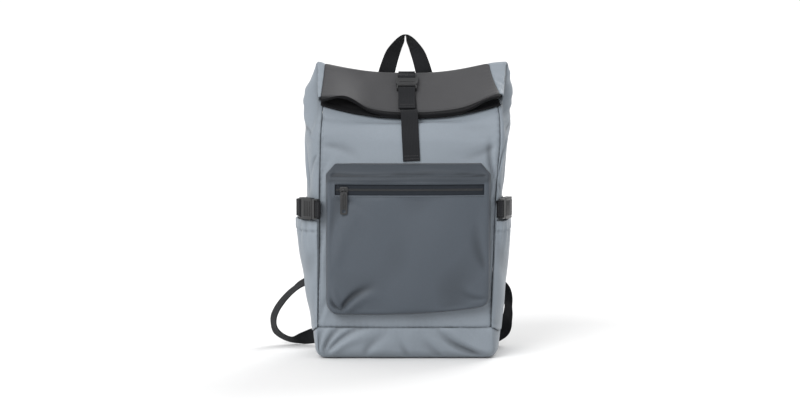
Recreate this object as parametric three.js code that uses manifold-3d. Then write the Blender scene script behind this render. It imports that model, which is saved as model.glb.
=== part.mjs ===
// A roll-top backpack, packed and closed, with its top folded over to the front once.
// Millimetres, +Z up. It stands on its base with the front facing -Y and the straps at +Y.
// Left is -X and right is +X, as seen from the front. The origin is the middle of the base.

import * as THREE from 'three';
import Module from 'manifold-3d';

const wasm = await Module();
wasm.setup();

// Cloth, webbing and the clearances between pieces
const clothWall = 1.6;
const seamGap = 0.3;
const restGap = 0.3;
const webbingWidth = 25;
const webbingThick = 1.6;

// Body
const frontWidth = 262;
const bagDepth = 118;
const sideBulge = 26;
const frontCrown = 8;
const backCrown = 3;
const baseRounding = 14;
const baseTurnUpFront = 48;
const baseTurnUpSide = 40;
const baseTurnUpBack = 8;
const backPadThick = 7;
const backWallHeight = 382;
const sideDent = 24;

// Roll top
const foldRise = 47;
const foldBack = 23;
const roofAngle = 42;
const backLean = 135;
const creaseRadius = 1.5;
const mouthRoom = 2;
const shoulderBend = 30;
const flapLength = 92;
const bindingWidth = 10;
const bindingThick = 3;
const ridgeSag = 14;
const flapEndRise = 9;
const lipLift = 18;
const lipLiftWidth = 32;
const lipLiftRightShare = 0.8;
const lipLiftLeftAt = 0.76;
const lipLiftRightAt = 0.95;
const earLift = 5;
const sagReach = 14;

// Front pocket
const pocketMarginLeft = 10;
const pocketMarginRight = 9.5;
const pocketBottom = 68;
const pocketBelowWall = 32;
const pocketEndRise = 11;
const pocketDepth = 17;
const pocketCrown = 4;
const pocketCorner = 20;
const pocketSideRound = 6;
const pocketTopSlope = 16;
const zipMarginLeft = 14;
const zipMarginRight = 10.5;
const zipBelowTop = 30;
const zipHeight = 16;
const zipTapeMargin = 2;
const zipTapeThick = 1.2;

// Zip slider and puller
const sliderFromEnd = 13;
const sliderLength = 12;
const sliderHeight = 9;
const sliderThick = 3;
const bridgeLength = 7;
const bridgeRadius = 0.8;
const bridgeRise = 2.6;
const pullerEyeRadius = 2.1;
const pullerEyeHole = 1.15;
const pullerEyeLength = 2.6;
const pullerWidth = 10.5;
const pullerLength = 36;
const pullerThick = 1.5;
const pullerWindow = 5;
const pullerFrame = 2.5;
const pullerStem = 2.4;
const joinDepth = 0.25;

// Side pockets
const sidePocketBelowStrap = 18;
const sidePocketSwellLeft = 15;
const sidePocketSwellRight = 11;

// Buckles
const buckleRail = 3.5;
const buckleLength = 28;
const buckleThick = 7.5;
const sideBuckleLength = 40;
const buckleWall = 1.8;
const buckleBar = 3;
const barWidth = 2.4;
const barThick = 2.8;
const barSlot = 3.4;
const wrapRadius = 3;
const socketShare = 0.7;
const ribHeight = 0.6;
const ribInset = 3;
const strapLead = 5;
const tailStart = 3.5;
const tailReach = 8;
const sideStrapHeight = 224;
const sidePocketTop = sideStrapHeight - sidePocketBelowStrap;

// Closure strap and handle
const closureFootX = 5;
const closureBuckleX = -2;
const closureBuckleAlong = 0.27;
const closureFootGap = 3;
const handleSpread = 30;
const handleMiddle = -4;
const handleRise = 51;
const patchTopWidth = 76;
const patchBottomWidth = 34;
const patchHeight = 32;
const patchThick = 2;
const patchAboveWall = 17;
const handleBack = 31;

// Harness
const strapTopAboveWall = 23;
const strapWidth = 57;
const strapThick = 11;
const strapLift = 12;
const strapGap = 0.8;
const strapsMiddle = -8.5;
const strapsApart = 1.2;
const ringOuterWidth = 37;
const ringHeight = 34;
const ringWire = 4;
const ringCorner = 0.9;
const ringAlong = 0.665;
const keeperThick = 1.2;
const keeperWidth = 24;
const keeperWrap = 2.95;
const ringRise = 6.65;
const padSquareness = 0.6;
const lockRail = 4.5;
const lockHeight = 37;
const lockCorner = 9;
const lockThick = 3;
const lockBar = 3.5;
const lockSlot = 5.8;
const lockSlotPlay = 2;
const lockPlay = 1.1;
const lockPlane = 20.5;
const lockOutRight = 71;
const lockOutLeft = 65;
const lockAbovePadEnd = 13.3;
const anchorHeight = 97;
const anchorReach = 8;
const loopBack = 20;
const tailEndHeight = 4;
const tabThick = 3;
const tabBelow = 67;
const tabAbove = 20;

const rightSide = 1;
const leftSide = -1;
const degree = Math.PI / 180;
const halfDepth = bagDepth / 2;
const halfFront = frontWidth / 2;
const foldHeight = backWallHeight + foldRise;
const handleHeight = foldHeight + handleRise;
const strapTopHeight = backWallHeight + strapTopAboveWall;
const patchTop = backWallHeight + patchAboveWall;
const { lerp: mix, clamp } = THREE.MathUtils;
const vec = (x, y, z) => new THREE.Vector3(x, y, z);
const ease = (t) => THREE.MathUtils.smoothstep(t, 0, 1);
const bell = (t) => Math.exp(-t * t);
const range = (count) => [...Array(count).keys()];
const spread = (from, to, steps) => range(steps + 1).map((i) => mix(from, to, i / steps));

// Landmarks along the cloth, called v below: 0 is the floor, 1 the top of the upright walls,
// 1.5 the end of the front's bend, 2 the start of the fold, 3 its end and 4 the mouth.

// Where each side is dented in over the shoulder and lifted at the ear, along (v) and round (u)
const dentAt = { v: 1.4, u: 0.3, reachV: 0.28, reachU: 0.13 };
const earAt = { v: 2.3, reach: 0.5 };
// The back's seams run into the front's between these
const seamBlend = { from: 1.4, to: 2 };

// Seams, as shares of half the front's width, and how far each side swells, as a share of sideBulge.
// corner is 2 where a side is round in section and more where it lies flat, as an ear of the roll.
const SEAMS = [
  { at: 0.0, left: 1.01, right: 0.96, backHalf: 0.96, swellLeft: 0.3, swellRight: 0.38, corner: 2 },
  { at: 0.1, left: 1.02, right: 0.94, backHalf: 0.98, swellLeft: 0.38, swellRight: 0.5, corner: 2 },
  { at: 0.3, left: 1.01, right: 0.94, backHalf: 0.99, swellLeft: 0.54, swellRight: 0.54, corner: 2 },
  { at: 0.5, left: 1.0, right: 0.96, backHalf: 0.99, swellLeft: 0.69, swellRight: 0.5, corner: 2 },
  { at: 0.7, left: 0.995, right: 0.98, backHalf: 0.99, swellLeft: 0.79, swellRight: 0.44, corner: 2 },
  { at: 0.85, left: 0.99, right: 1.0, backHalf: 0.99, swellLeft: 0.84, swellRight: 0.56, corner: 2 },
  { at: 1.0, left: 0.98, right: 1.03, backHalf: 0.99, swellLeft: 1.0, swellRight: 0.72, corner: 2 },
  { at: 1.5, left: 0.96, right: 1.01, backHalf: 0.98, swellLeft: 1.1, swellRight: 1.03, corner: 2.1 },
  { at: 2.0, left: 0.945, right: 0.92, backHalf: 0.93, swellLeft: 0.55, swellRight: 1.15, corner: 3 },
  { at: 3.0, left: 0.95, right: 0.93, backHalf: 0.94, swellLeft: 0.42, swellRight: 0.95, corner: 3 },
  { at: 4.0, left: 0.985, right: 1.04, backHalf: 1.01, swellLeft: 0.12, swellRight: 0.12, corner: 3 },
];

// Swell of the front and back walls between their seams, as shares of frontCrown and backCrown,
// and the depth of the upright walls, as a share of halfDepth.
const WALLS = [
  { at: 0.0, front: 0.2, back: 0.3, depth: 0.96 },
  { at: 0.12, front: 0.7, back: 0.8, depth: 1.0 },
  { at: 0.35, front: 1.0, back: 1.0, depth: 1.03 },
  { at: 0.75, front: 1.0, back: 1.0, depth: 1.0 },
  { at: 1.0, front: 0.65, back: 0.9, depth: 1.0 },
  { at: 1.2, front: 0.25, back: 0.5, depth: 1.0 },
  { at: 1.45, front: 0.0, back: 0.2, depth: 1.0 },
  { at: 1.6, front: 0.0, back: 0.0, depth: 1.0 },
  { at: 4.0, front: 0.0, back: 0.0, depth: 1.0 },
];

// A column of a table at a place between its rows, on a smooth curve through them.
function column(table, key, at) {
  const last = table.length - 1;
  let low = 0;
  while (low < last - 1 && at > table[low + 1].at) low += 1;
  const high = low + 1;
  const step = table[high].at - table[low].at;
  const t = clamp((at - table[low].at) / step, 0, 1);
  const slope = (row) => {
    const before = table[Math.max(row - 1, 0)];
    const after = table[Math.min(row + 1, last)];
    return (step * (after[key] - before[key])) / (after.at - before.at);
  };
  const change = table[high][key] - table[low][key];
  const bend = (1 - t) * (slope(low) - change) + t * (change - slope(high));
  return table[low][key] + t * change + t * (1 - t) * bend;
}

// The fold: layers turn about one centre, each at its own radius.
const roof = { y: Math.cos(roofAngle * degree), z: Math.sin(roofAngle * degree) };
const roofOut = { y: -roof.z, z: roof.y };
const ridgeRadius = creaseRadius + 2 * clothWall + mouthRoom;
const leanTurn = (backLean - roofAngle) * degree;
const roofStartY = -halfDepth;
const creaseY = foldBack - creaseRadius * roofOut.y;
const creaseZ = foldHeight - creaseRadius * roofOut.z;
const shoulderHeight = creaseZ - ((creaseY - roofStartY) * roof.z) / roof.y;
const frontWallHeight = shoulderHeight - shoulderBend;

function foldPoint(radius, turn) {
  const along = Math.sin(turn);
  const out = -Math.cos(turn);
  return {
    y: foldBack + radius * (along * roof.y + out * roofOut.y),
    z: foldHeight + radius * (along * roof.z + out * roofOut.z),
  };
}

function bendPoint(from, corner, to, t) {
  const first = (1 - t) * (1 - t);
  const second = 2 * t * (1 - t);
  return {
    y: first * from.y + second * corner.y + t * t * to.y,
    z: first * from.z + second * corner.z + t * t * to.z,
  };
}

// How far the rounding under the base draws the walls in at a height.
function baseInset(height) {
  const below = clamp(baseRounding - height, 0, baseRounding);
  return baseRounding - Math.sqrt(baseRounding ** 2 - below ** 2);
}

// Outer face of the front cloth in side view, at its seams.
function frontProfile(v) {
  if (v <= 1) {
    const z = v * frontWallHeight;
    return { y: baseInset(z) - halfDepth * column(WALLS, 'depth', v), z };
  }
  const shoulder = { y: roofStartY, z: shoulderHeight };
  const bendEnd = { y: shoulder.y + shoulderBend * roof.y, z: shoulder.z + shoulderBend * roof.z };
  if (v <= 1.5) {
    return bendPoint({ y: roofStartY, z: frontWallHeight }, shoulder, bendEnd, 2 * (v - 1));
  }
  if (v <= 2) {
    const t = 2 * (v - 1.5);
    return { y: mix(bendEnd.y, creaseY, t), z: mix(bendEnd.z, creaseZ, t) };
  }
  if (v <= 3) return foldPoint(creaseRadius, (v - 2) * Math.PI);
  const end = foldPoint(creaseRadius, Math.PI);
  const run = (v - 3) * flapLength;
  return { y: end.y - run * roof.y, z: end.z - run * roof.z };
}

// Outer face of the back and roll-top cloth in side view, at its seams.
function backProfile(v) {
  if (v <= 1) {
    const z = v * backWallHeight;
    return { y: halfDepth * column(WALLS, 'depth', v) - baseInset(z), z };
  }
  const start = foldPoint(ridgeRadius, leanTurn);
  if (v <= 2) {
    const lean = Math.tan((backLean - 90) * degree);
    const corner = { y: halfDepth, z: start.z - (halfDepth - start.y) / lean };
    return bendPoint({ y: halfDepth, z: backWallHeight }, corner, start, v - 1);
  }
  if (v <= 3) return foldPoint(ridgeRadius, mix(leanTurn, Math.PI, v - 2));
  const end = foldPoint(ridgeRadius, Math.PI);
  const run = (v - 3) * flapLength;
  return { y: end.y - run * roof.y, z: end.z - run * roof.z };
}

// Unit direction away from the bag in side view. side is -1 on the front and 1 on the back.
function profileOut(profile, side, v) {
  const step = 0.004;
  const before = profile(Math.max(v - step, 0));
  const after = profile(v + step);
  const length = Math.hypot(after.y - before.y, after.z - before.z);
  return { y: (side * (after.z - before.z)) / length, z: (-side * (after.y - before.y)) / length };
}

// The roll sags between its ends, over the roof and down the flap.
function sag(across, y, z) {
  const front = ease((y - roofStartY) / sagReach);
  const back = ease((z - backWallHeight) / (foldHeight - backWallHeight));
  return ridgeSag * (1 - across * across) * (y < foldBack ? front : back);
}

// The flap is pulled down at its middle, so its ends lie higher up the roof.
function flapPull(across, v) {
  return flapEndRise * across * across * clamp(v - 3, 0, 1);
}

// A point on the front cloth: across is -1 at the left seam and 1 at the right one, and
// inset is the depth under the outer face, or less than 0 for what lies on it.
function frontPoint(across, v, inset) {
  const base = frontProfile(v);
  const out = profileOut(frontProfile, leftSide, v);
  const lift = frontCrown * column(WALLS, 'front', v) * (1 - across * across) - inset;
  const pull = flapPull(across, v);
  const y = base.y + out.y * lift + roof.y * pull;
  const z = base.z + out.z * lift + roof.z * pull;
  const left = -halfFront * column(SEAMS, 'left', v) + baseInset(base.z);
  const right = halfFront * column(SEAMS, 'right', v) - baseInset(base.z);
  return vec(mix(left, right, (across + 1) / 2), y, z - sag(across, y, z));
}

// The upper lip of the mouth gapes near both of its ends.
function gape(across, v) {
  const reach = halfFront * across;
  const left = bell((reach + lipLiftLeftAt * halfFront) / lipLiftWidth);
  const right = lipLiftRightShare * bell((reach - lipLiftRightAt * halfFront) / lipLiftWidth);
  return lipLift * (left + right) * clamp(v - 3, 0, 1) ** 2;
}

// A point on the back and roll-top cloth, on the same terms as frontPoint.
function backPoint(across, v, inset) {
  const base = backProfile(v);
  const out = profileOut(backProfile, rightSide, v);
  const crown = backCrown * column(WALLS, 'back', v) * (1 - across * across);
  const lift = crown + gape(across, v) - inset;
  const pull = flapPull(across, v);
  const y = base.y + out.y * lift + roof.y * pull;
  const z = base.z + out.z * lift + roof.z * pull;
  const blend = ease((v - seamBlend.from) / (seamBlend.to - seamBlend.from));
  const share = (key) => mix(column(SEAMS, 'backHalf', v), column(SEAMS, key, v), blend);
  const left = -halfFront * share('left') + baseInset(base.z);
  const right = halfFront * share('right') - baseInset(base.z);
  return vec(mix(left, right, (across + 1) / 2), y, z - sag(across, y, z));
}

// A point on a side cloth: u runs from 0 at the front seam to 1 at the back seam.
function sidePoint(side, u, v, inset) {
  const front = frontPoint(side, v, 0);
  const back = backPoint(side, v, 0);
  const half = back.clone().sub(front).multiplyScalar(0.5);
  const power = 2 / column(SEAMS, 'corner', v);
  const turn = u * Math.PI;
  const across = -Math.sign(Math.cos(turn)) * Math.abs(Math.cos(turn)) ** power;
  const out = Math.abs(Math.sin(turn)) ** power;
  const swell = sideBulge * column(SEAMS, side === leftSide ? 'swellLeft' : 'swellRight', v);
  const dentV = bell((v - dentAt.v) / dentAt.reachV);
  const dentU = bell((u - dentAt.u) / dentAt.reachU);
  const point = front.clone().add(back).multiplyScalar(0.5);
  point.addScaledVector(half, across * (1 - inset / half.length()));
  point.x += side * (out * (swell - inset) - sideDent * dentV * dentU);
  point.z += earLift * out * bell((v - earAt.v) / earAt.reach);
  return point;
}

// Closed meshes from faces of three or more points, facing out.
function closedMesh(faces) {
  const seen = new Map();
  const points = [];
  const indexOf = (point) => {
    const key = point.toArray().map((n) => Math.round(n * 1000)).join();
    if (!seen.has(key)) {
      seen.set(key, points.length);
      points.push(point);
    }
    return seen.get(key);
  };
  const triangles = [];
  for (const face of faces) {
    const ids = face.map(indexOf);
    for (let k = 2; k < ids.length; k += 1) {
      const triangle = [ids[0], ids[k - 1], ids[k]];
      if (new Set(triangle).size === 3) triangles.push(triangle);
    }
  }
  const volume = ([a, b, c]) => points[a].dot(points[b].clone().cross(points[c]));
  const inside = triangles.reduce((sum, triangle) => sum + volume(triangle), 0) < 0;
  const geometry = new THREE.BufferGeometry().setFromPoints(points);
  geometry.setIndex(triangles.flatMap(([a, b, c]) => (inside ? [a, c, b] : [a, b, c])));
  return geometry;
}

// A wall between an outer and an inner grid of points, over the cells that keep allows.
function wall(outer, inner, keep = () => true, wrap = false) {
  const rows = outer.length - 1;
  const columns = outer[0].length - 1;
  const inside = (i, j) => i >= 0 && i < rows && j >= 0 && j < columns;
  const kept = (i, j) => {
    const turned = wrap ? (j + columns) % columns : j;
    return inside(i, turned) && keep(i, turned);
  };
  const faces = [];
  for (const i of range(rows)) {
    for (const j of range(columns).filter((place) => kept(i, place))) {
      const corners = [[i, j], [i + 1, j], [i + 1, j + 1], [i, j + 1]];
      const beyond = [[i, j - 1], [i + 1, j], [i, j + 1], [i - 1, j]];
      faces.push(corners.map(([a, b]) => outer[a][b]));
      faces.push(corners.map(([a, b]) => inner[a][b]).reverse());
      corners.forEach(([a, b], k) => {
        const [c, d] = corners[(k + 1) % 4];
        if (!kept(...beyond[k])) faces.push([outer[c][d], outer[a][b], inner[a][b], inner[c][d]]);
      });
    }
  }
  return closedMesh(faces);
}

// A wall from a function of row, column and the depth under its outer face.
function sheet(rows, columns, thickness, pointAt, keep, wrap) {
  const grid = (inset) => rows.map((row) => columns.map((place) => pointAt(row, place, inset)));
  return wall(grid(0), grid(thickness), keep, wrap);
}

// A solid through a row of rings, with flat ends, or joined end to end.
function loft(rings, joined = false) {
  const faces = [];
  for (const i of range(joined ? rings.length : rings.length - 1)) {
    const [ring, next] = [rings[i], rings[(i + 1) % rings.length]];
    for (const j of range(ring.length)) {
      const k = (j + 1) % ring.length;
      faces.push([ring[j], ring[k], next[k], next[j]]);
    }
  }
  if (!joined) faces.push([...rings[0]].reverse(), rings.at(-1));
  return closedMesh(faces);
}

// Webbing along a path of points, with its width along the direction given at each of them.
function ribbon(points, widths, width, thickness) {
  const last = points.length - 1;
  const rings = points.map((point, i) => {
    const along = points[Math.min(i + 1, last)].clone().sub(points[Math.max(i - 1, 0)]).normalize();
    const across = widths[i].clone().addScaledVector(along, -widths[i].dot(along)).normalize();
    const out = across.clone().cross(along);
    const corner = (a, b) => point.clone()
      .addScaledVector(across, (a * width) / 2)
      .addScaledVector(out, (b * thickness) / 2);
    return [corner(-1, -1), corner(1, -1), corner(1, 1), corner(-1, 1)];
  });
  return loft(rings);
}

// The same along a smooth curve through the points.
function smoothRibbon(points, widths, steps, width, thickness) {
  const curve = new THREE.CatmullRomCurve3(points, false, 'centripetal');
  const last = widths.length - 1;
  const widthAt = (t) => {
    const low = Math.min(Math.floor(t * last), last - 1);
    return widths[low].clone().lerp(widths[low + 1], t * last - low).normalize();
  };
  const shares = spread(0, 1, steps);
  return ribbon(shares.map((t) => curve.getPoint(t)), shares.map(widthAt), width, thickness);
}

const sameWidth = (points, direction) => points.map(() => direction);

// Solids in their own axes, then joined and cut.
function trianglesOf(geometry) {
  const flat = geometry.index ? geometry.toNonIndexed() : geometry;
  const at = flat.getAttribute('position');
  const corner = (i) => vec().fromBufferAttribute(at, i);
  return range(at.count / 3).map((i) => [corner(3 * i), corner(3 * i + 1), corner(3 * i + 2)]);
}

function plate(shape, thickness, curveSegments = 4) {
  const options = { depth: thickness, bevelEnabled: false, curveSegments };
  const geometry = new THREE.ExtrudeGeometry(shape, options).translate(0, 0, -thickness / 2);
  return closedMesh(trianglesOf(geometry));
}

function block(width, height, depth, x, y, z) {
  return closedMesh(trianglesOf(new THREE.BoxGeometry(width, height, depth).translate(x, y, z)));
}

function toSolid(geometry) {
  return new wasm.Manifold(new wasm.Mesh({
    numProp: 3,
    vertProperties: new Float32Array(geometry.getAttribute('position').array),
    triVerts: new Uint32Array(geometry.index.array),
  }));
}

function combine(base, added, cut) {
  let result = toSolid(base);
  for (const geometry of added) result = result.add(toSolid(geometry));
  for (const geometry of cut) result = result.subtract(toSolid(geometry));
  const mesh = result.getMesh();
  const geometry = new THREE.BufferGeometry();
  geometry.setAttribute('position', new THREE.BufferAttribute(mesh.vertProperties, 3));
  geometry.setIndex(new THREE.BufferAttribute(mesh.triVerts, 1));
  return closedMesh(trianglesOf(geometry));
}

function roundedBox(width, height, radius) {
  const [x, y] = [width / 2, height / 2];
  const shape = new THREE.Shape();
  shape.moveTo(x - radius, -y);
  shape.absarc(x - radius, radius - y, radius, -Math.PI / 2, 0);
  shape.absarc(x - radius, y - radius, radius, 0, Math.PI / 2);
  shape.absarc(radius - x, y - radius, radius, Math.PI / 2, Math.PI);
  shape.absarc(radius - x, radius - y, radius, Math.PI, 1.5 * Math.PI);
  return shape;
}

// Materials, by the look of each kind of cloth, webbing or moulding
const material = (color, roughness) => new THREE.MeshStandardMaterial({
  color,
  roughness,
  metalness: 0,
  flatShading: true,
});
const greyCloth = material(0x9aa2ab, 0.62);
const darkCloth = material(0x565759, 0.68);
const pocketCloth = material(0x5b626b, 0.66);
const bandCloth = material(0x454648, 0.8);
const meshCloth = material(0x202226, 0.95);
const strapCloth = material(0xa0a9b0, 0.62);
const webbing = material(0x2b2c2e, 0.85);
const tape = material(0x2f333b, 0.8);
const plastic = material(0x303133, 0.45);

const bag = new THREE.Group();

function piece(name, geometry, look, parent = bag) {
  const mesh = new THREE.Mesh(geometry, look);
  mesh.name = name;
  parent.add(mesh);
  return mesh;
}

const sides = [
  { name: 'left', side: leftSide },
  { name: 'right', side: rightSide },
];

// Places on the body found by their distances
const frontV = (z) => z / frontWallHeight;
const backV = (z) => z / backWallHeight;
const sideWallHeight = (u) => mix(frontWallHeight, backWallHeight, (1 - Math.cos(u * Math.PI)) / 2);
const sideV = (u, z) => z / sideWallHeight(u);
const acrossOf = (pointAt, x, v) => {
  const left = pointAt(-1, v, 0).x;
  return (2 * (x - left)) / (pointAt(1, v, 0).x - left) - 1;
};
const frontAt = (x, v, inset) => frontPoint(acrossOf(frontPoint, x, v), v, inset);
const backAt = (x, v, inset) => backPoint(acrossOf(backPoint, x, v), v, inset);

// How high the base cloth is turned up round the foot of the bag
const turnUpSide = (u) => mix(baseTurnUpFront, baseTurnUpSide, ease(3 * u));
const turnUpBack = (across) => mix(baseTurnUpBack, baseTurnUpSide, across ** 8);

const seamShare = seamGap / frontWidth;
const acrossPlaces = spread(-1 + 2 * seamShare, 1 - 2 * seamShare, 8);
const sidePlaces = spread(0, 1, 8);
const backPlaces = [-1 + seamShare, -0.93, -0.8, -0.4, 0, 0.4, 0.8, 0.93, 1 - seamShare];
const mouthV = 4 - bindingWidth / flapLength;
const seamV = seamGap / 2 / flapLength;
const backSeam = seamGap / 2 / backWallHeight;
const leanSeam = seamGap / 2 / (foldHeight - backWallHeight);

// The base: a tray with a flat bottom and walls turned up to the seams of the panels.
function makeBase() {
  const runs = [
    ['front', acrossPlaces],
    ['right', sidePlaces],
    ['back', [...backPlaces].reverse()],
    ['left', [...sidePlaces].reverse()],
  ];
  const around = runs.flatMap(([face, places]) => (
    places.slice(0, -1).map((at) => ({ face, at }))));
  around.push(around[0]);
  const rimOf = {
    front: () => baseTurnUpFront,
    back: turnUpBack,
    left: turnUpSide,
    right: turnUpSide,
  };
  const pointOn = {
    front: (at, z, inset) => frontPoint(at, frontV(z), inset),
    back: (at, z, inset) => backPoint(at, backV(z), inset),
    left: (at, z, inset) => sidePoint(leftSide, at, sideV(at, z), inset),
    right: (at, z, inset) => sidePoint(rightSide, at, sideV(at, z), inset),
  };
  const wallRows = [1, 0.4, 0.15, 0.03, 0].map((share) => ({ share, size: 1 }));
  const floorRows = [0.93, 0].map((size) => ({ share: 0, size }));
  return sheet([...wallRows, ...floorRows], around, clothWall, (row, place, inset) => {
    const rim = rimOf[place.face](place.at) - seamGap / 2;
    const point = pointOn[place.face](place.at, rim * row.share, inset);
    point.z = inset + (rim - inset) * row.share;
    point.x *= row.size;
    point.y *= row.size;
    return point;
  }, undefined, true);
}

// Rows of the cloth, from the base seam over the roof and back down inside the flap
const bendRows = [1, 1.12, 1.25, 1.38, 1.5];
const roofRows = [1.67, 1.83];
const foldRows = spread(2, 3, 6);
const flapRows = [3.35, 3.7, mouthV - seamV];
const upperRows = [...bendRows, ...roofRows, ...foldRows, ...flapRows];
const frontRows = [0, 0.15, 0.35, 0.6, 0.8, ...upperRows];
const sideRows = [0, 0.12, 0.3, 0.45, 0.6, 0.75, 0.88, ...upperRows];
const fromRim = (v, rimV) => (v < 1 ? mix(rimV, 1, v) : v);

function makeFront() {
  const rim = frontV(baseTurnUpFront + seamGap / 2);
  return sheet(frontRows, acrossPlaces, clothWall, (row, across, inset) => (
    frontPoint(across, fromRim(row, rim), inset)));
}

function makeSide(side) {
  return sheet(sideRows, sidePlaces, clothWall, (row, u, inset) => {
    const rim = sideV(u, turnUpSide(u) + seamGap / 2);
    const point = sidePoint(side, u, fromRim(row, rim), inset);
    point.x += side * seamGap;
    return point;
  });
}

// The padded back keeps its full thickness down to the base seam.
function makeBack() {
  const rows = [0, 0.06, 0.3, 0.6, 0.85, 1 - backSeam];
  return sheet(rows, backPlaces, backPadThick, (row, across, inset) => {
    const rim = backV(turnUpBack(across) + seamGap / 2);
    const v = fromRim(row, rim);
    const point = backPoint(across, v, 0);
    return point.set(point.x, point.y - inset, v * backWallHeight);
  });
}

const makeUpperBack = (rows) => (
  sheet(rows, acrossPlaces, clothWall, (v, across, inset) => backPoint(across, v, inset)));

piece('base_panel', makeBase(), greyCloth);
piece('front_panel', makeFront(), greyCloth);
sides.forEach(({ name, side }) => piece(`side_panel_${name}`, makeSide(side), greyCloth));
piece('back_panel', makeBack(), meshCloth);
const bandRows = [1 + leanSeam, ...bendRows.slice(1, -1), 1.5 - leanSeam];
piece('back_top_band', makeUpperBack(bandRows), bandCloth);
const rollRows = [1.5 + leanSeam, ...roofRows, ...foldRows, ...flapRows];
piece('roll_top_panel', makeUpperBack(rollRows), darkCloth);

// The two lips of the mouth, each in a band of tape
const lipRows = [mouthV + seamV, 4];
const lipPlaces = spread(-1 + seamShare, 1 - seamShare, 16);
const lipProud = (bindingThick - clothWall) / 2;
[['upper', backPoint], ['lower', frontPoint]].forEach(([name, pointAt]) => {
  const lip = sheet(lipRows, lipPlaces, bindingThick, (row, across, inset) => (
    pointAt(across, row, inset - lipProud)));
  piece(`mouth_binding_${name}`, lip, tape);
});

// Front pocket: a raised tray against the front cloth, open behind, with a slot for its zip
function cornerInset(distance, radius) {
  const left = clamp(radius - distance, 0, radius);
  return radius - Math.sqrt(radius ** 2 - left ** 2);
}

function roundRise(distance, radius) {
  return Math.sqrt(1 - (1 - clamp(distance / radius, 0, 1)) ** 2);
}

const pocketLeft = pocketMarginLeft - halfFront;
const pocketRight = halfFront - pocketMarginRight;
const pocketTop = frontWallHeight - pocketBelowWall;
const zipLeft = pocketLeft + zipMarginLeft;
const zipRight = pocketRight - zipMarginRight;
const zipTop = pocketTop - zipBelowTop;
const zipBottom = zipTop - zipHeight;

function pocketPlace(x, z, inset) {
  const corner = Math.max(
    cornerInset(z - pocketBottom, pocketCorner),
    cornerInset(pocketTop - z, pocketTopSlope),
  );
  const width = pocketRight - pocketLeft;
  const share = (x - pocketLeft) / width;
  const left = roundRise(share * width, pocketSideRound);
  const right = roundRise((1 - share) * width, pocketSideRound);
  const bottom = roundRise(z - pocketBottom, pocketSideRound);
  const top = clamp((pocketTop - z) / pocketTopSlope, 0, 1) ** 0.8;
  const height = (z - pocketBottom) / (pocketTop - pocketBottom);
  const arch = (t) => 4 * t * (1 - t);
  const crown = pocketCrown * arch(share) * arch(height);
  const rise = left * right * bottom * top * (pocketDepth + crown);
  const shift = (near, far) => inset * ((1 - near) - (1 - far));
  const squeezed = mix(pocketLeft + corner, pocketRight - corner, share) + shift(left, right);
  const raised = z + shift(bottom, top) + pocketEndRise * share ** 3 * (1 - height) ** 2;
  return frontAt(squeezed, frontV(raised), -(restGap + Math.max(rise - inset, 0)));
}

const fromEdge = [0, 0.6, 2, 5];
const pocketColumns = [
  ...fromEdge.map((d) => pocketLeft + d),
  ...spread(zipLeft, zipRight, 5),
  ...fromEdge.map((d) => pocketRight - d).reverse(),
];
const pocketRows = [
  ...fromEdge.map((d) => pocketBottom + d),
  ...spread(pocketBottom + pocketCorner, zipBottom, 3),
  zipTop,
  pocketTop - pocketTopSlope, pocketTop - pocketTopSlope / 2, pocketTop,
];
const inSlot = (i, j) => {
  const [low, high] = [pocketRows[i], pocketRows[i + 1]];
  const [left, right] = [pocketColumns[j], pocketColumns[j + 1]];
  return low >= zipBottom && high <= zipTop && left >= zipLeft && right <= zipRight;
};
const pocket = sheet(
  pocketRows,
  pocketColumns,
  clothWall,
  (z, x, inset) => pocketPlace(x, z, inset),
  (i, j) => !inSlot(i, j),
);
piece('front_pocket', pocket, pocketCloth);

const tapeColumns = [
  zipLeft - zipTapeMargin,
  ...spread(zipLeft, zipRight, 5).slice(1, -1),
  zipRight + zipTapeMargin,
];
const tapeDepth = clothWall + restGap;
const zipTape = sheet(
  [zipBottom - zipTapeMargin, zipTop + zipTapeMargin],
  tapeColumns,
  zipTapeThick,
  (z, x, inset) => pocketPlace(x, z, tapeDepth + inset),
);
piece('pocket_zip', zipTape, tape);

// Zip slider and its puller, which hangs in front of the pocket from the slider's bridge
const zipMiddle = (zipBottom + zipTop) / 2;
const slider = new THREE.Group();
slider.position.copy(pocketPlace(zipLeft + sliderFromEnd, zipMiddle, tapeDepth));
slider.position.y -= restGap + sliderThick / 2;
bag.add(slider);
const bridgeOut = sliderThick / 2 + bridgeRise;

function makeSlider() {
  const body = plate(roundedBox(sliderLength, sliderHeight, sliderHeight / 4), sliderThick);
  body.rotateX(Math.PI / 2);
  const bar = block(bridgeLength, 2 * bridgeRadius, 2 * bridgeRadius, 0, -bridgeOut, 0);
  const postLength = bridgeRise + bridgeRadius;
  const posts = [-1, 1].map((end) => block(
    2 * bridgeRadius,
    postLength + 2 * joinDepth,
    2 * bridgeRadius,
    (end * (bridgeLength - 2 * bridgeRadius)) / 2,
    bridgeRadius - bridgeOut + postLength / 2 - joinDepth,
    0,
  ));
  return combine(body, [bar, ...posts], []);
}

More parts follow.
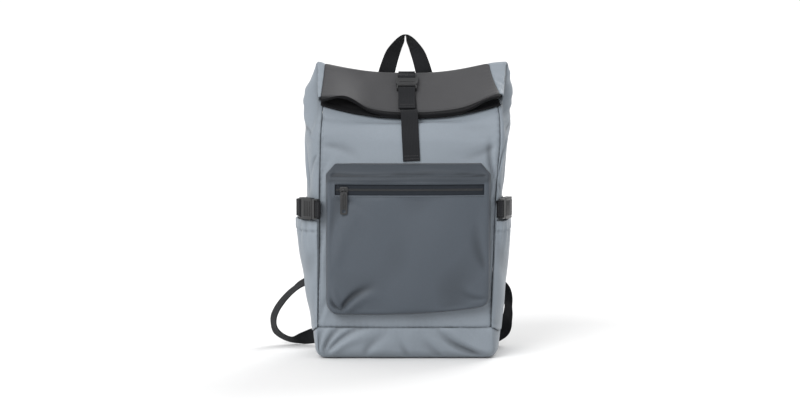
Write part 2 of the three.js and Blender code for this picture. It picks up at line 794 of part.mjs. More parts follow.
function makePuller() {
  const eyeShape = new THREE.Shape().absarc(0, 0, pullerEyeRadius, 0, 2 * Math.PI);
  eyeShape.holes.push(new THREE.Path().absarc(0, 0, pullerEyeHole, 0, 2 * Math.PI, true));
  const eye = plate(eyeShape, pullerEyeLength, 8).rotateY(Math.PI / 2);
  const neck = pullerEyeRadius + 4 * joinDepth;
  const bladeLength = pullerLength - neck;
  const window = roundedBox(pullerWidth - 2 * pullerFrame, pullerWindow, pullerWindow / 5);
  const blade = roundedBox(pullerWidth, bladeLength, pullerFrame);
  const windowAt = pullerFrame + (pullerWindow - bladeLength) / 2;
  blade.holes.push(new THREE.Path(window.getPoints(3).map((p) => p.setY(p.y + windowAt))));
  const tab = plate(blade, pullerThick).rotateX(Math.PI / 2);
  tab.translate(0, 0, -neck - bladeLength / 2);
  const stem = block(pullerEyeLength, pullerThick, pullerStem, 0, 0, joinDepth - neck);
  return combine(eye, [tab, stem], []);
}

piece('zip_slider', makeSlider(), plastic, slider);
const puller = piece('zip_puller', makePuller(), plastic, slider);
puller.position.y = -bridgeOut;

// Side pockets stand away from the side cloth towards their tops
sides.forEach(({ name, side }) => {
  const swell = side === leftSide ? sidePocketSwellLeft : sidePocketSwellRight;
  const rows = spread(0, 1, 6);
  const places = [0.02, ...sidePlaces.slice(1, -1), 0.98];
  const geometry = sheet(rows, places, clothWall, (row, u, inset) => {
    const z = mix(turnUpSide(u) + seamGap / 2, sidePocketTop, row);
    const point = sidePoint(side, u, sideV(u, z), inset - clothWall - restGap);
    point.x += side * (seamGap + swell * Math.sin(u * Math.PI) * ease(row) ** 0.8);
    return point;
  });
  piece(`side_pocket_${name}`, geometry, greyCloth);
});

// A frame for a hard piece, whose length lies along the webbing and whose face looks out
function frameOf(origin, along, out) {
  const length = along.clone().normalize();
  const face = out.clone().addScaledVector(length, -out.dot(length)).normalize();
  const across = length.clone().cross(face);
  return new THREE.Matrix4().makeBasis(across, length, face).setPosition(origin);
}
const placed = (frame, x, y, z) => vec(x, y, z).applyMatrix4(frame);

// Buckles: a socket and a plug, each with a bar that webbing goes round
const slotWidth = webbingWidth + 1;
const buckleWidth = webbingWidth + 2 * buckleRail;

function withBar(body, added, cut, barAt, slotAt) {
  const slotLength = 2 * Math.abs(slotAt - barAt) + barWidth;
  const slot = block(slotWidth, slotLength, 2 * buckleThick, 0, slotAt, 0);
  const bar = block(slotWidth + buckleWall, barWidth, barThick, 0, barAt, 0);
  return combine(combine(body, added, [slot, ...cut]), [bar], []);
}

function makeSocket(length, ribs) {
  const end = length / 2;
  const size = socketShare * length;
  const mouth = end - size;
  const inner = end - barWidth - barSlot - buckleWall;
  const body = plate(roundedBox(buckleWidth, size, buckleWall * 2), buckleThick);
  body.translate(0, end - size / 2, 0);
  const cavityWidth = buckleWidth - 2 * buckleWall;
  const cavityThick = buckleThick - 2 * buckleWall;
  const depth = inner - mouth;
  const cavity = block(cavityWidth, 2 * depth, cavityThick, 0, mouth, 0);
  const window = block(2 * buckleWidth, depth / 2, cavityThick, 0, mouth + depth / 2, 0);
  const pitch = depth / (ribs + 1);
  const raised = range(ribs).map((i) => block(
    cavityWidth - 2 * ribInset,
    0.4 * pitch,
    buckleWall,
    0,
    mouth + pitch * (i + 1),
    (buckleThick - ribHeight) / 2,
  ));
  const slotAt = end - (barWidth + barSlot) / 2;
  return withBar(body, raised, [cavity, window], end - barWidth / 2, slotAt);
}

function makePlug(length) {
  const end = length / 2;
  const mouth = end - socketShare * length;
  const size = end + mouth - restGap;
  const depth = end - barWidth - barSlot - buckleWall - mouth;
  const thick = buckleThick - 2 * buckleWall - 2 * restGap;
  const body = plate(roundedBox(buckleWidth - 2, size, buckleWall), buckleThick - ribHeight);
  body.translate(0, size / 2 - end, 0);
  const reach = depth - restGap;
  const prongAt = buckleWidth / 2 - buckleWall - restGap - buckleBar / 2;
  const prong = (x, width) => (
    block(width, reach + buckleWall, thick, x, mouth + (reach - buckleWall) / 2, 0));
  const head = (side) => block(
    buckleBar,
    depth / 2 - 2 * restGap,
    thick,
    side * (prongAt + buckleWall),
    mouth + depth / 2,
    0,
  );
  const added = [
    prong(prongAt, buckleBar),
    prong(-prongAt, buckleBar),
    prong(0, 2 * buckleBar),
    head(1),
    head(-1),
  ];
  const slotAt = (barWidth + barSlot) / 2 - end;
  return withBar(body, added, [], barWidth / 2 - end, slotAt);
}

// Webbing round a bar: from behind it, through the slot, to its front.
const wrapRound = (frame, bar, toward, sweep = Math.PI, radius = wrapRadius) => (
  spread(0, sweep, 6).map((turn) => (
    placed(frame, 0, bar - toward * radius * Math.sin(turn), -radius * Math.cos(turn)))));

// Closure: a strap over the ridge from the back, a buckle, and a strap up from the front
const strapRest = clothWall * 0.45;
const onCloth = strapRest + webbingThick / 2;
const onStrap = onCloth + webbingThick + strapRest;
const acrossBag = vec(1, 0, 0);
const buckleV = 3 + closureBuckleAlong;
const buckleRise = strapRest + buckleThick / 2;
const closureFrame = frameOf(
  backAt(closureBuckleX, buckleV, -buckleRise),
  backAt(closureBuckleX, 3.2, 0).sub(backAt(closureBuckleX, 3.35, 0)),
  vec(0, -roof.z, roof.y),
);
const closureEnd = buckleLength / 2;

function makeUpperClosure() {
  const bar = closureEnd - barWidth / 2;
  const points = [
    ...[1.62, ...roofRows.slice(1), ...foldRows].map((v) => backAt(closureBuckleX, v, -onCloth)),
    placed(closureFrame, 0, bar + strapLead, -wrapRadius),
    ...wrapRound(closureFrame, bar, 1),
    placed(closureFrame, 0, bar + tailStart, 1),
    placed(closureFrame, 0, bar + tailReach, onStrap - buckleRise),
  ];
  return ribbon(points, sameWidth(points, acrossBag), webbingWidth, webbingThick);
}

// Its places on the front cloth, over the lip, and in the tail that hangs from the buckle
function makeLowerClosure() {
  const bar = barWidth / 2 - closureEnd;
  const overLip = onCloth + lipProud;
  const onTail = onStrap + restGap;
  const xAt = (share) => mix(closureFootX, closureBuckleX, share);
  const foot = frontV(pocketTop + closureFootGap);
  const underLip = 2 - (0.5 * flapLength * roof.y) / (creaseY - roofStartY - shoulderBend * roof.y);
  const upFront = [
    [0, foot],
    [0.1, mix(foot, 1, 0.5)],
    [0.2, 1],
    [0.27, mix(1, underLip, 0.16)],
    [0.35, mix(1, underLip, 0.4)],
  ];
  const upFlap = [
    [0.5, 4.03, overLip],
    [0.6, 3.88, overLip],
    [0.7, 3.75, onCloth],
    [0.9, 3.55, onCloth],
  ];
  const tail = [[3.56, onStrap], [3.74, onTail], [3.86, onTail + lipProud]];
  const points = [
    ...upFront.map(([share, v]) => frontAt(xAt(share), v, -onCloth)),
    ...upFlap.map(([share, v, off]) => backAt(xAt(share), v, -off)),
    placed(closureFrame, 0, bar - strapLead, -wrapRadius),
    ...wrapRound(closureFrame, bar, -1),
    placed(closureFrame, 0, bar - tailStart, wrapRadius - 1),
    ...tail.map(([v, off]) => backAt(closureBuckleX, v, -off)),
  ];
  return ribbon(points, sameWidth(points, acrossBag), webbingWidth, webbingThick);
}

piece('closure_strap_upper', makeUpperClosure(), webbing);
piece('closure_strap_lower', makeLowerClosure(), webbing);
piece('closure_buckle_socket', makeSocket(buckleLength, 1).applyMatrix4(closureFrame), plastic);
piece('closure_buckle_plug', makePlug(buckleLength).applyMatrix4(closureFrame), plastic);

// Side straps and buckles, standing off the corners between the front and the sides.
// A buckle's middle lies past the front seam along its strap, and off it the way that it faces.
const sideBuckles = [
  { name: 'left', side: leftSide, past: 11.5, off: 9.4, turn: 46, seats: [0.02, 0.04] },
  { name: 'right', side: rightSide, past: 18.1, off: 9, turn: 68, seats: [0.05, 0.08] },
];
const frontSeatDepth = 1.2;
const backLead = 12;
const backSeats = [0.97, 0.9, 0.8, 0.7];
const loopSeats = [0.6, 0.5];

sideBuckles.forEach(({ name, side, past, off, turn, seats }) => {
  const angle = turn * degree;
  const along = vec(side * Math.cos(angle), Math.sin(angle), 0);
  const facing = vec(side * Math.sin(angle), -Math.cos(angle), 0);
  const seam = sidePoint(side, 0, sideV(0, sideStrapHeight), 0);
  const frame = frameOf(
    seam.addScaledVector(along, past).addScaledVector(facing, off),
    along,
    facing,
  );
  const end = sideBuckleLength / 2;
  const bar = end - barWidth / 2;
  const above = (u, rise) => (
    sidePoint(side, u, sideV(u, sideStrapHeight + rise), -onCloth - strapRest - restGap / 3));
  const onSide = (u) => above(u, 0);
  const upSide = (u) => (
    above(u, webbingWidth / 2).sub(above(u, -webbingWidth / 2)).normalize());
  const upright = vec(0, 0, 1);
  const front = [
    ...seats.map(onSide),
    placed(frame, 0, 2 - bar, -wrapRadius - frontSeatDepth),
    ...wrapRound(frame, -bar, 1, 1.5 * Math.PI),
    placed(frame, 0, wrapRadius - bar, -1),
  ];
  const frontUp = [...seats.map(upSide), ...sameWidth(front, upright)].slice(0, front.length);
  const loop = new THREE.CatmullRomCurve3([
    ...loopSeats.map(onSide),
    placed(frame, 0, end + backLead, -wrapRadius),
    placed(frame, 0, end + backLead / 3, -wrapRadius),
  ]);
  const back = [
    ...backSeats.map(onSide),
    ...spread(0, 1, 9).map((t) => loop.getPoint(t)),
    ...wrapRound(frame, bar, 1),
    placed(frame, 0, bar + tailStart, 1),
    placed(frame, 0, bar + tailReach, onStrap - buckleRise),
  ];
  const loopUp = spread(...loopSeats, 3);
  const backUp = [...backSeats, ...loopUp].map(upSide);
  const backWidths = [...backUp, ...sameWidth(back, upright)].slice(0, back.length);
  piece(`side_strap_front_${name}`, ribbon(front, frontUp, webbingWidth, webbingThick), webbing);
  piece(`side_strap_back_${name}`, ribbon(back, backWidths, webbingWidth, webbingThick), webbing);
  piece(`side_buckle_socket_${name}`, makeSocket(sideBuckleLength, 4).applyMatrix4(frame), plastic);
  piece(`side_buckle_plug_${name}`, makePlug(sideBuckleLength).applyMatrix4(frame), plastic);
});

// Shoulder straps, from their tops down. up is a share of strapTopHeight, and out is how far the
// middle line lies out from where the two straps would lie side by side, as a share of halfFront.
const HARNESS = [
  { at: 0.0, up: 0.945, outRight: 0.108, outLeft: 0.045, lift: 0.0, thick: 0.4, width: 0.98 },
  { at: 0.08, up: 0.89, outRight: 0.068, outLeft: 0.045, lift: 0.12, thick: 0.85, width: 1.0 },
  { at: 0.2, up: 0.81, outRight: 0.023, outLeft: 0.023, lift: 0.5, thick: 1.0, width: 1.0 },
  { at: 0.36, up: 0.66, outRight: 0, outLeft: 0.001, lift: 0.9, thick: 1.0, width: 1.0 },
  { at: 0.5, up: 0.53, outRight: 0.003, outLeft: 0, lift: 1.0, thick: 1.0, width: 1.0 },
  { at: 0.62, up: 0.42, outRight: 0.048, outLeft: 0.028, lift: 0.9, thick: 1.0, width: 1.0 },
  { at: 0.7, up: 0.355, outRight: 0.103, outLeft: 0.063, lift: 0.75, thick: 1.0, width: 1.0 },
  { at: 0.82, up: 0.255, outRight: 0.218, outLeft: 0.133, lift: 0.4, thick: 0.95, width: 1.0 },
  { at: 0.92, up: 0.19, outRight: 0.298, outLeft: 0.168, lift: 0.12, thick: 0.8, width: 0.85 },
  { at: 1.0, up: 0.14, outRight: 0.343, outLeft: 0.183, lift: 0.0, thick: 0.45, width: 0.4 },
];
const outKeys = { [leftSide]: 'outLeft', [rightSide]: 'outRight' };

// The back's outer face at a place in back view
function backFace(x, z) {
  let low = 0;
  let high = 2;
  while (high - low > seamV) {
    const v = (low + high) / 2;
    const below = backAt(x, v, 0).z < z;
    low = below ? v : low;
    high = below ? high : v;
  }
  return backAt(x, low, 0).y;
}

// A place on the outer face of a shoulder strap, or above it
function onPad(side, along, rise) {
  const out = (strapWidth + strapsApart) / 2 + halfFront * column(HARNESS, outKeys[side], along);
  const x = strapsMiddle + side * out;
  const z = strapTopHeight * column(HARNESS, 'up', along);
  const lift = strapLift * column(HARNESS, 'lift', along);
  const thick = strapThick * column(HARNESS, 'thick', along);
  return vec(x, backFace(x, z) + strapGap + lift + thick + rise, z);
}

const padStep = 0.03;
function padUp(side, along) {
  const above = onPad(side, Math.max(along - padStep, 0), 0);
  const below = onPad(side, Math.min(along + padStep, 1), 0);
  return above.sub(below).normalize();
}
const outward = vec(0, 1, 0);

function makePad(side) {
  const rings = spread(0, 1, 15).map((along) => {
    const thick = strapThick * column(HARNESS, 'thick', along);
    const width = strapWidth * column(HARNESS, 'width', along);
    const frame = frameOf(onPad(side, along, -thick / 2), padUp(side, along), outward);
    return spread(0, 2 * Math.PI, 10).slice(0, -1).map((turn) => {
      const [x, z] = [Math.cos(turn), Math.sin(turn)];
      const squared = (n) => Math.sign(n) * Math.abs(n) ** padSquareness;
      return placed(frame, (width / 2) * squared(x), 0, (thick / 2) * squared(z));
    });
  });
  return loft(rings);
}

// The patch over the tops of the straps, held by both and spanning between them
function makePatch() {
  const top = onPad(rightSide, 0, 0);
  const next = onPad(rightSide, HARNESS[1].at, 0);
  const reach = (HARNESS[1].at * (top.z - patchTop + patchHeight)) / (top.z - next.z);
  const clear = 3 * restGap + patchThick;
  const flare = Math.max(...sides.map(({ side }) => onPad(side, reach, clear).y));
  return sheet([0, 0.3, 0.45, 1], [-1, 0, 1], patchThick, (row, across, inset) => {
    const z = patchTop - patchHeight * row;
    const x = (across * mix(patchTopWidth, patchBottomWidth, row)) / 2;
    const overStraps = ease((patchTop - z) / (patchTop - top.z));
    const onBack = backFace(x, z) + clear;
    return vec(x, mix(onBack, flare, overStraps) - inset, z);
  });
}

// The handle: feet on the roll top, and an arch over them. out is a share of handleSpread and
// up of the way from the fold to the top; the webbing turns edge-on to the bag on its way over.
const HANDLE_FEET = [1.6, 1.73, 1.86];
const HANDLE_ARCH = [
  { out: 0.63, up: 0.42, back: 2 },
  { out: 0.22, up: 0.83, back: 0 },
];

function makeHandle() {
  const leg = (side) => [
    ...HANDLE_FEET.map((v) => backAt(handleMiddle + side * handleSpread, v, -onCloth - strapRest)),
    ...HANDLE_ARCH.map(({ out, up, back }) => vec(
      handleMiddle + side * out * handleSpread,
      handleBack + back,
      mix(foldHeight, handleHeight, up),
    )),
  ];
  const top = vec(handleMiddle, handleBack, handleHeight - webbingThick);
  const points = [...leg(leftSide), top, ...leg(rightSide).reverse()];
  const arched = 2 * (HANDLE_ARCH.length + 1);
  const widths = points.map((point, i) => {
    const turn = Math.PI * clamp((i - HANDLE_FEET.length + 1) / arched, 0, 1);
    return vec(Math.cos(turn), Math.sin(turn), 0);
  });
  return smoothRibbon(points, widths, 2 * (points.length - 1), webbingWidth, webbingThick);
}

piece('handle_patch', makePatch(), bandCloth);
piece('grab_handle', makeHandle(), webbing);

// Lower loops of webbing, from the lock to the anchor at the side seam. out is a share of
// halfFront, up of anchorHeight and back of loopBack; turn is 1 where the webbing is edge-on
// to the back.
const LOOPS = {
  left: [
    { out: 0.64, up: 0.25, back: 0.42, turn: 0.0 },
    { out: 0.84, up: 0.16, back: 0.75, turn: 0.0 },
    { out: 1.085, up: 0.16, back: 0.85, turn: 0.15 },
    { out: 1.36, up: 0.09, back: 0.9, turn: 0.65 },
    { out: 1.55, up: 0.23, back: 0.75, turn: 0.65 },
    { out: 1.58, up: 0.45, back: 0.7, turn: 0.7 },
    { out: 1.475, up: 0.72, back: 0.65, turn: 0.75 },
    { out: 1.315, up: 0.93, back: 0.6, turn: 0.8 },
    { out: 1.19, up: 1.03, back: 0.85, turn: 0.7 },
    { out: 1.11, up: 1.03, back: 0.68, turn: 0.25 },
    { out: 1.03, up: 1.0, back: 0.46, turn: 0.0 },
  ],
  right: [
    { out: 0.67, up: 0.27, back: 0.42, turn: 0.0 },
    { out: 0.825, up: 0.16, back: 0.8, turn: 0.0 },
    { out: 0.99, up: 0.155, back: 0.95, turn: 0.1 },
    { out: 1.12, up: 0.25, back: 1.0, turn: 0.3 },
    { out: 1.175, up: 0.43, back: 0.9, turn: 0.6 },
    { out: 1.185, up: 0.64, back: 0.8, turn: 0.7 },
    { out: 1.15, up: 0.83, back: 0.75, turn: 0.45 },
    { out: 1.1, up: 0.92, back: 0.64, turn: 0.2 },
    { out: 1.03, up: 0.99, back: 0.46, turn: 0.0 },
  ],
};

const locks = {
  left: { out: lockOutLeft, lean: 17 },
  right: { out: lockOutRight, lean: -25 },
};

const lockUp = strapTopHeight * HARNESS.at(-1).up + lockAbovePadEnd;
const lockSlotWidth = webbingWidth + lockSlotPlay;
const lockWidth = lockSlotWidth + 2 * lockRail;

function lockFrame(name, side) {
  const { out, lean } = locks[name];
  const up = vec(side * -Math.sin(-lean * degree), 0, Math.cos(lean * degree));
  return frameOf(vec(side * out, halfDepth + backCrown + lockPlane, lockUp), up, outward);
}

const lockEnd = lockHeight / 2;
const topBar = lockEnd - lockBar / 2;
const middleBar = topBar - lockBar - lockSlot;
const lockWrap = lockThick / 2 + webbingThick / 2 + lockPlay;

function makeLock() {
  const body = plate(roundedBox(lockWidth, lockHeight, lockCorner), lockThick);
  const slot = (bar) => block(
    lockSlotWidth,
    lockSlot,
    2 * lockThick,
    0,
    bar - (lockBar + lockSlot) / 2,
    0,
  );
  return combine(body, [], [slot(topBar), slot(middleBar)]);
}

const padWebbingSeats = [0.6, 0.66, 0.72, 0.77, 0.82];

function makePadWebbing(frame, side) {
  const lift = 4 * restGap + webbingThick / 2;
  const endRise = webbingThick + 3 * restGap - lockWrap;
  const points = [
    ...padWebbingSeats.map((along) => onPad(side, along, lift)),
    placed(frame, 0, topBar + 1.5 * tailReach, -lockWrap),
    ...wrapRound(frame, topBar, 1, Math.PI, lockWrap),
    placed(frame, 0, topBar + strapLead, lockWrap / 2),
    placed(frame, 0, topBar + strapLead + 2 * lockThick, endRise),
  ];
  const acrossFrame = vec().setFromMatrixColumn(frame, 0).negate();
  const widths = points.map((point, i) => {
    const along = points[Math.min(i + 1, points.length - 1)].clone().sub(points[Math.max(i - 1, 0)]);
    return i < padWebbingSeats.length ? outward.clone().cross(along).normalize() : acrossFrame;
  });
  return ribbon(points, widths, webbingWidth, webbingThick);
}

function makeAdjuster(frame, name, side) {
  const behind = restGap - 2 * lockPlay - (lockThick + webbingThick) / 2;
  const outer = behind - webbingThick - 2 * restGap;
  const tailEnd = placed(frame, 0, -lockEnd, behind);
  const start = [
    vec(tailEnd.x, tailEnd.y, tailEndHeight),
    vec(tailEnd.x, tailEnd.y, mix(tailEndHeight, tailEnd.z, 0.6)),
    placed(frame, 0, -lockEnd * 0.7, behind),
    placed(frame, 0, middleBar - lockWrap - 4, behind),
    placed(frame, 0, middleBar - lockWrap - 1, behind + 1),
    placed(frame, 0, middleBar - lockWrap, 0),
    ...spread(0.25, 0.75, 2).map((share) => placed(
      frame,
      0,
      middleBar - lockWrap * Math.cos(share * Math.PI),
      lockWrap * Math.sin(share * Math.PI),
    )),
    placed(frame, 0, middleBar + lockWrap, 0),
    placed(frame, 0, middleBar + lockWrap - 1, behind),
    placed(frame, 0, middleBar - 1, outer),
    placed(frame, 0, -lockEnd * 0.5, outer),
  ];
  const loop = LOOPS[name].map(({ out, up, back }) => (
    vec(side * halfFront * out, halfDepth + loopBack * back, anchorHeight * up)));
  const points = [...start, ...loop];
  const turns = [...start.map(() => 0), ...LOOPS[name].map(({ turn }) => turn)];
  const widths = points.map((point, i) => {
    const next = points[Math.min(i + 1, points.length - 1)];
    const before = points[Math.max(i - 1, 0)];
    const flat = next.clone().sub(before).setY(0).normalize().cross(outward);
    const acrossLock = vec().setFromMatrixColumn(frame, 0);
    return (i < start.length ? acrossLock : flat).lerp(outward, turns[i]);
  });
  return smoothRibbon(points, widths, 2 * (points.length - 1), webbingWidth, webbingThick);
}

function makeRing() {
  const half = (ringOuterWidth - ringWire) / 2;
  const reach = ringHeight - ringWire;
  const straight = half - ringWire / 2;
  const bow = (turn) => -reach * mix(0.2, 1, Math.sin(turn));
  const path = [
    vec(-straight, 0, 0),
    vec(straight, 0, 0),
    vec(half - ringCorner / 2, -ringCorner, 0),
    ...spread(0, Math.PI, 8).map((turn) => vec(half * Math.cos(turn), bow(turn), 0)),
    vec(ringCorner / 2 - half, -ringCorner, 0),
  ];
  const face = vec(0, 0, 1);
  const rings = path.map((point, i) => {
    const next = path[(i + 1) % path.length];
    const before = path[(i + path.length - 1) % path.length];
    const along = next.clone().sub(before).normalize();
    const out = along.clone().cross(face);
    return spread(0, 2 * Math.PI, 6).slice(0, -1).map((turn) => point.clone()
      .addScaledVector(out, (ringWire / 2) * Math.cos(turn))
      .addScaledVector(face, (ringWire / 2) * Math.sin(turn)));
  });
  return loft(rings, true);
}

const keeperSeats = [0.575, 0.6, 0.63];

function makeKeeper(frame, side) {
  const low = 5 * restGap + webbingThick + keeperThick / 2;
  const high = low + keeperThick + restGap;
  const lower = keeperSeats.map((along) => onPad(side, along, low));
  const upper = keeperSeats.map((along) => onPad(side, along, high)).reverse();
  const points = [...lower, ...wrapRound(frame, 0, 1, Math.PI, keeperWrap), ...upper];
  const widths = sameWidth(points, vec().setFromMatrixColumn(frame, 0));
  return ribbon(points, widths, keeperWidth, keeperThick);
}

function makeTab(side) {
  const edge = (z) => side * (Math.abs(backPoint(side, backV(z), 0).x) + restGap);
  const [low, high] = [anchorHeight - tabBelow, anchorHeight + tabAbove];
  const shape = new THREE.Shape([
    new THREE.Vector2(edge(low), low),
    new THREE.Vector2(edge(high), high),
    new THREE.Vector2(edge(anchorHeight) + side * anchorReach, anchorHeight),
  ]);
  const geometry = plate(shape, tabThick).rotateX(Math.PI / 2);
  const seamY = backPoint(side, backV(high), 0).y;
  return geometry.translate(0, seamY + clothWall + 3 * restGap + tabThick / 2, 0);
}

sides.forEach(({ name, side }) => {
  const frame = lockFrame(name, side);
  const ringSeat = onPad(side, ringAlong, ringRise);
  const ringFrame = frameOf(ringSeat, padUp(side, ringAlong).setY(0), outward);
  piece(`shoulder_strap_${name}`, makePad(side), strapCloth);
  piece(`pad_webbing_${name}`, makePadWebbing(frame, side), webbing);
  piece(`ladder_lock_${name}`, makeLock().applyMatrix4(frame), plastic);
  piece(`adjust_webbing_${name}`, makeAdjuster(frame, name, side), webbing);
  piece(`ring_keeper_${name}`, makeKeeper(ringFrame, side), webbing);
  piece(`d_ring_${name}`, makeRing().applyMatrix4(ringFrame), plastic);
  piece(`anchor_tab_${name}`, makeTab(side), greyCloth);
});

export default bag;
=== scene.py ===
"""A light roll-top backpack, closed and standing on a pale floor.

Lengths are millimetres in the shape functions and metres in Blender.
Left is -X and right is +X, as seen from the front.
"""

import contextlib
import itertools
import math

import bmesh
import bpy
import numpy as np
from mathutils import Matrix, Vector
from mathutils.kdtree import KDTree


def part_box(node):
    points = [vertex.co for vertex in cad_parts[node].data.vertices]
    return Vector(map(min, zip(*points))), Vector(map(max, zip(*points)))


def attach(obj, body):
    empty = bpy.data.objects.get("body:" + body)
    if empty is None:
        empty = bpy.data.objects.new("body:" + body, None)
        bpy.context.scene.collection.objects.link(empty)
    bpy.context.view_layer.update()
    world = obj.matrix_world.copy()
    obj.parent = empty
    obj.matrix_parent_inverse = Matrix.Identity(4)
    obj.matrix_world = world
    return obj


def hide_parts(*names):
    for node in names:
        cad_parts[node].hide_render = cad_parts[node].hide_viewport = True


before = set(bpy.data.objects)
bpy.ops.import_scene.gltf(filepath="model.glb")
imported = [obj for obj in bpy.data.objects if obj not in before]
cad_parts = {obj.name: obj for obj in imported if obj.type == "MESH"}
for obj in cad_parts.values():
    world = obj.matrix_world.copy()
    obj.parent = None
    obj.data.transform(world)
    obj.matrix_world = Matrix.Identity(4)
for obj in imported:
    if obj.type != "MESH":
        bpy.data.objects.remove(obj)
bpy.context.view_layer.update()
MM = 0.001
RIGHT, LEFT = 1, -1
PI = math.pi

# Driving sizes of the bag, as in the part
CLOTH = 1.6
FRONT_WIDTH = 262
HALF_FRONT = FRONT_WIDTH / 2
DEPTH = 118
HALF_DEPTH = DEPTH / 2
SIDE_BULGE = 26
FRONT_CROWN = 8
BACK_CROWN = 3
BASE_ROUNDING = 14
TURN_UP_FRONT = 48
TURN_UP_SIDE = 40
TURN_UP_BACK = 8
BACK_PAD = 7
BACK_WALL = 382
SIDE_DENT = 24
FOLD_HEIGHT = 429
FOLD_BACK = 23
ROOF_ANGLE = math.radians(42)
BACK_LEAN = math.radians(135)
CREASE = 1.5
SHOULDER_BEND = 30
FLAP = 92
BINDING_WIDTH = 10
BINDING_THICK = 3
RIDGE_SAG = 14
SAG_REACH = 14
FLAP_END_RISE = 9
LIP_LIFT = 18
LIP_LIFT_WIDTH = 32
EAR_LIFT = 5

# Landmarks along the cloth: 0 floor, 1 top of the walls, 1.5 end of the front's bend,
# 2 start of the fold, 3 its end and 4 the mouth.
SEAMS = {
    "at": [0, 0.1, 0.3, 0.5, 0.7, 0.85, 1, 1.5, 2, 3, 4],
    "left": [1.01, 1.02, 1.01, 1.0, 0.995, 0.99, 0.98, 0.96, 0.945, 0.95, 0.985],
    "right": [0.96, 0.94, 0.94, 0.96, 0.98, 1.0, 1.03, 1.01, 0.92, 0.93, 1.04],
    "back_half": [0.96, 0.98, 0.99, 0.99, 0.99, 0.99, 0.99, 0.98, 0.93, 0.94, 1.01],
    "swell_left": [0.3, 0.38, 0.54, 0.69, 0.79, 0.84, 1.0, 1.1, 0.55, 0.42, 0.12],
    "swell_right": [0.38, 0.5, 0.54, 0.5, 0.44, 0.56, 0.72, 1.03, 1.15, 0.95, 0.12],
    "corner": [2, 2, 2, 2, 2, 2, 2, 2.1, 3, 3, 3],
}
WALLS = {
    "at": [0, 0.12, 0.35, 0.75, 1, 1.2, 1.45, 1.6, 4],
    "front": [0.2, 0.7, 1, 1, 0.65, 0.25, 0, 0, 0],
    "back": [0.3, 0.8, 1, 1, 0.9, 0.5, 0.2, 0, 0],
    "depth": [0.96, 1, 1.03, 1, 1, 1, 1, 1, 1],
}


def clamp(value, low=0.0, high=1.0):
    return np.clip(value, low, high)


def mix(a, b, t):
    return a + (b - a) * t


def ease(t):
    t = clamp(t)
    return t * t * (3 - 2 * t)


def bell(t):
    return np.exp(-np.square(t))


def unit(vectors):
    return vectors / np.linalg.norm(vectors, axis=-1)[..., None]


def power_of(value, power):
    """A power of a value's size, with its sign kept."""
    return np.sign(value) * np.abs(value) ** power


def distances(places):
    """How far along a route each of its places is."""
    steps_between = np.linalg.norm(np.diff(places, axis=0), axis=1)
    return np.concatenate([[0], np.cumsum(steps_between)])


def crossed(rows, columns):
    return np.meshgrid(rows, columns, indexing="ij")


def between(at, run, values):
    """Rows of values at distances between those where they are known."""
    return np.stack([np.interp(at, run, known) for known in values.T], axis=1)


def column(table, key, at):
    """A column of a table at a place between its rows, on a smooth curve through them."""
    places = np.array(table["at"], float)
    values = np.array(table[key], float)
    last = len(places) - 1
    low = np.clip(np.searchsorted(places, at, side="left") - 1, 0, last - 1)
    high = low + 1
    step = places[high] - places[low]
    t = clamp((at - places[low]) / step)

    def slope(row):
        before = np.maximum(row - 1, 0)
        after = np.minimum(row + 1, last)
        return step * (values[after] - values[before]) / (places[after] - places[before])

    change = values[high] - values[low]
    bend = (1 - t) * (slope(low) - change) + t * (change - slope(high))
    return values[low] + t * change + t * (1 - t) * bend


ROOF_Y, ROOF_Z = math.cos(ROOF_ANGLE), math.sin(ROOF_ANGLE)
OUT_Y, OUT_Z = -ROOF_Z, ROOF_Y
RIDGE = CREASE + 2 * CLOTH + 2
LEAN_TURN = BACK_LEAN - ROOF_ANGLE
ROOF_START = -HALF_DEPTH
CREASE_Y = FOLD_BACK - CREASE * OUT_Y
CREASE_Z = FOLD_HEIGHT - CREASE * OUT_Z
SHOULDER = CREASE_Z - (CREASE_Y - ROOF_START) * ROOF_Z / ROOF_Y
FRONT_WALL = SHOULDER - SHOULDER_BEND


def fold_point(radius, turn):
    along, out = np.sin(turn), -np.cos(turn)
    return (
        FOLD_BACK + radius * (along * ROOF_Y + out * OUT_Y),
        FOLD_HEIGHT + radius * (along * ROOF_Z + out * OUT_Z),
    )


def flap_point(radius, v):
    last = fold_point(radius, PI)
    run = (v - 3) * FLAP
    return last[0] - run * ROOF_Y, last[1] - run * ROOF_Z


def bend_point(start, corner, end, t):
    first, second, third = (1 - t) ** 2, 2 * t * (1 - t), t * t
    return tuple(first * a + second * b + third * c for a, b, c in zip(start, corner, end))


def base_inset(height):
    below = clamp(BASE_ROUNDING - height, 0, BASE_ROUNDING)
    return BASE_ROUNDING - np.sqrt(BASE_ROUNDING**2 - below**2)


def choose(v, limits, choices):
    """The first choice whose limit v doesn't pass, or else the last one."""
    tests = [v <= limit for limit in limits]
    return tuple(
        np.select(tests, [c[k] for c in choices[:-1]], choices[-1][k]) for k in range(2)
    )


def front_profile(v):
    height = v * FRONT_WALL
    upright = (base_inset(height) - HALF_DEPTH * column(WALLS, "depth", v), height)
    end = (ROOF_START + SHOULDER_BEND * ROOF_Y, SHOULDER + SHOULDER_BEND * ROOF_Z)
    bend = bend_point((ROOF_START, FRONT_WALL), (ROOF_START, SHOULDER), end, clamp(2 * (v - 1)))
    t = 2 * (v - 1.5)
    roof = (mix(end[0], CREASE_Y, t), mix(end[1], CREASE_Z, t))
    fold = fold_point(CREASE, (v - 2) * PI)
    return choose(v, [1, 1.5, 2, 3], [upright, bend, roof, fold, flap_point(CREASE, v)])


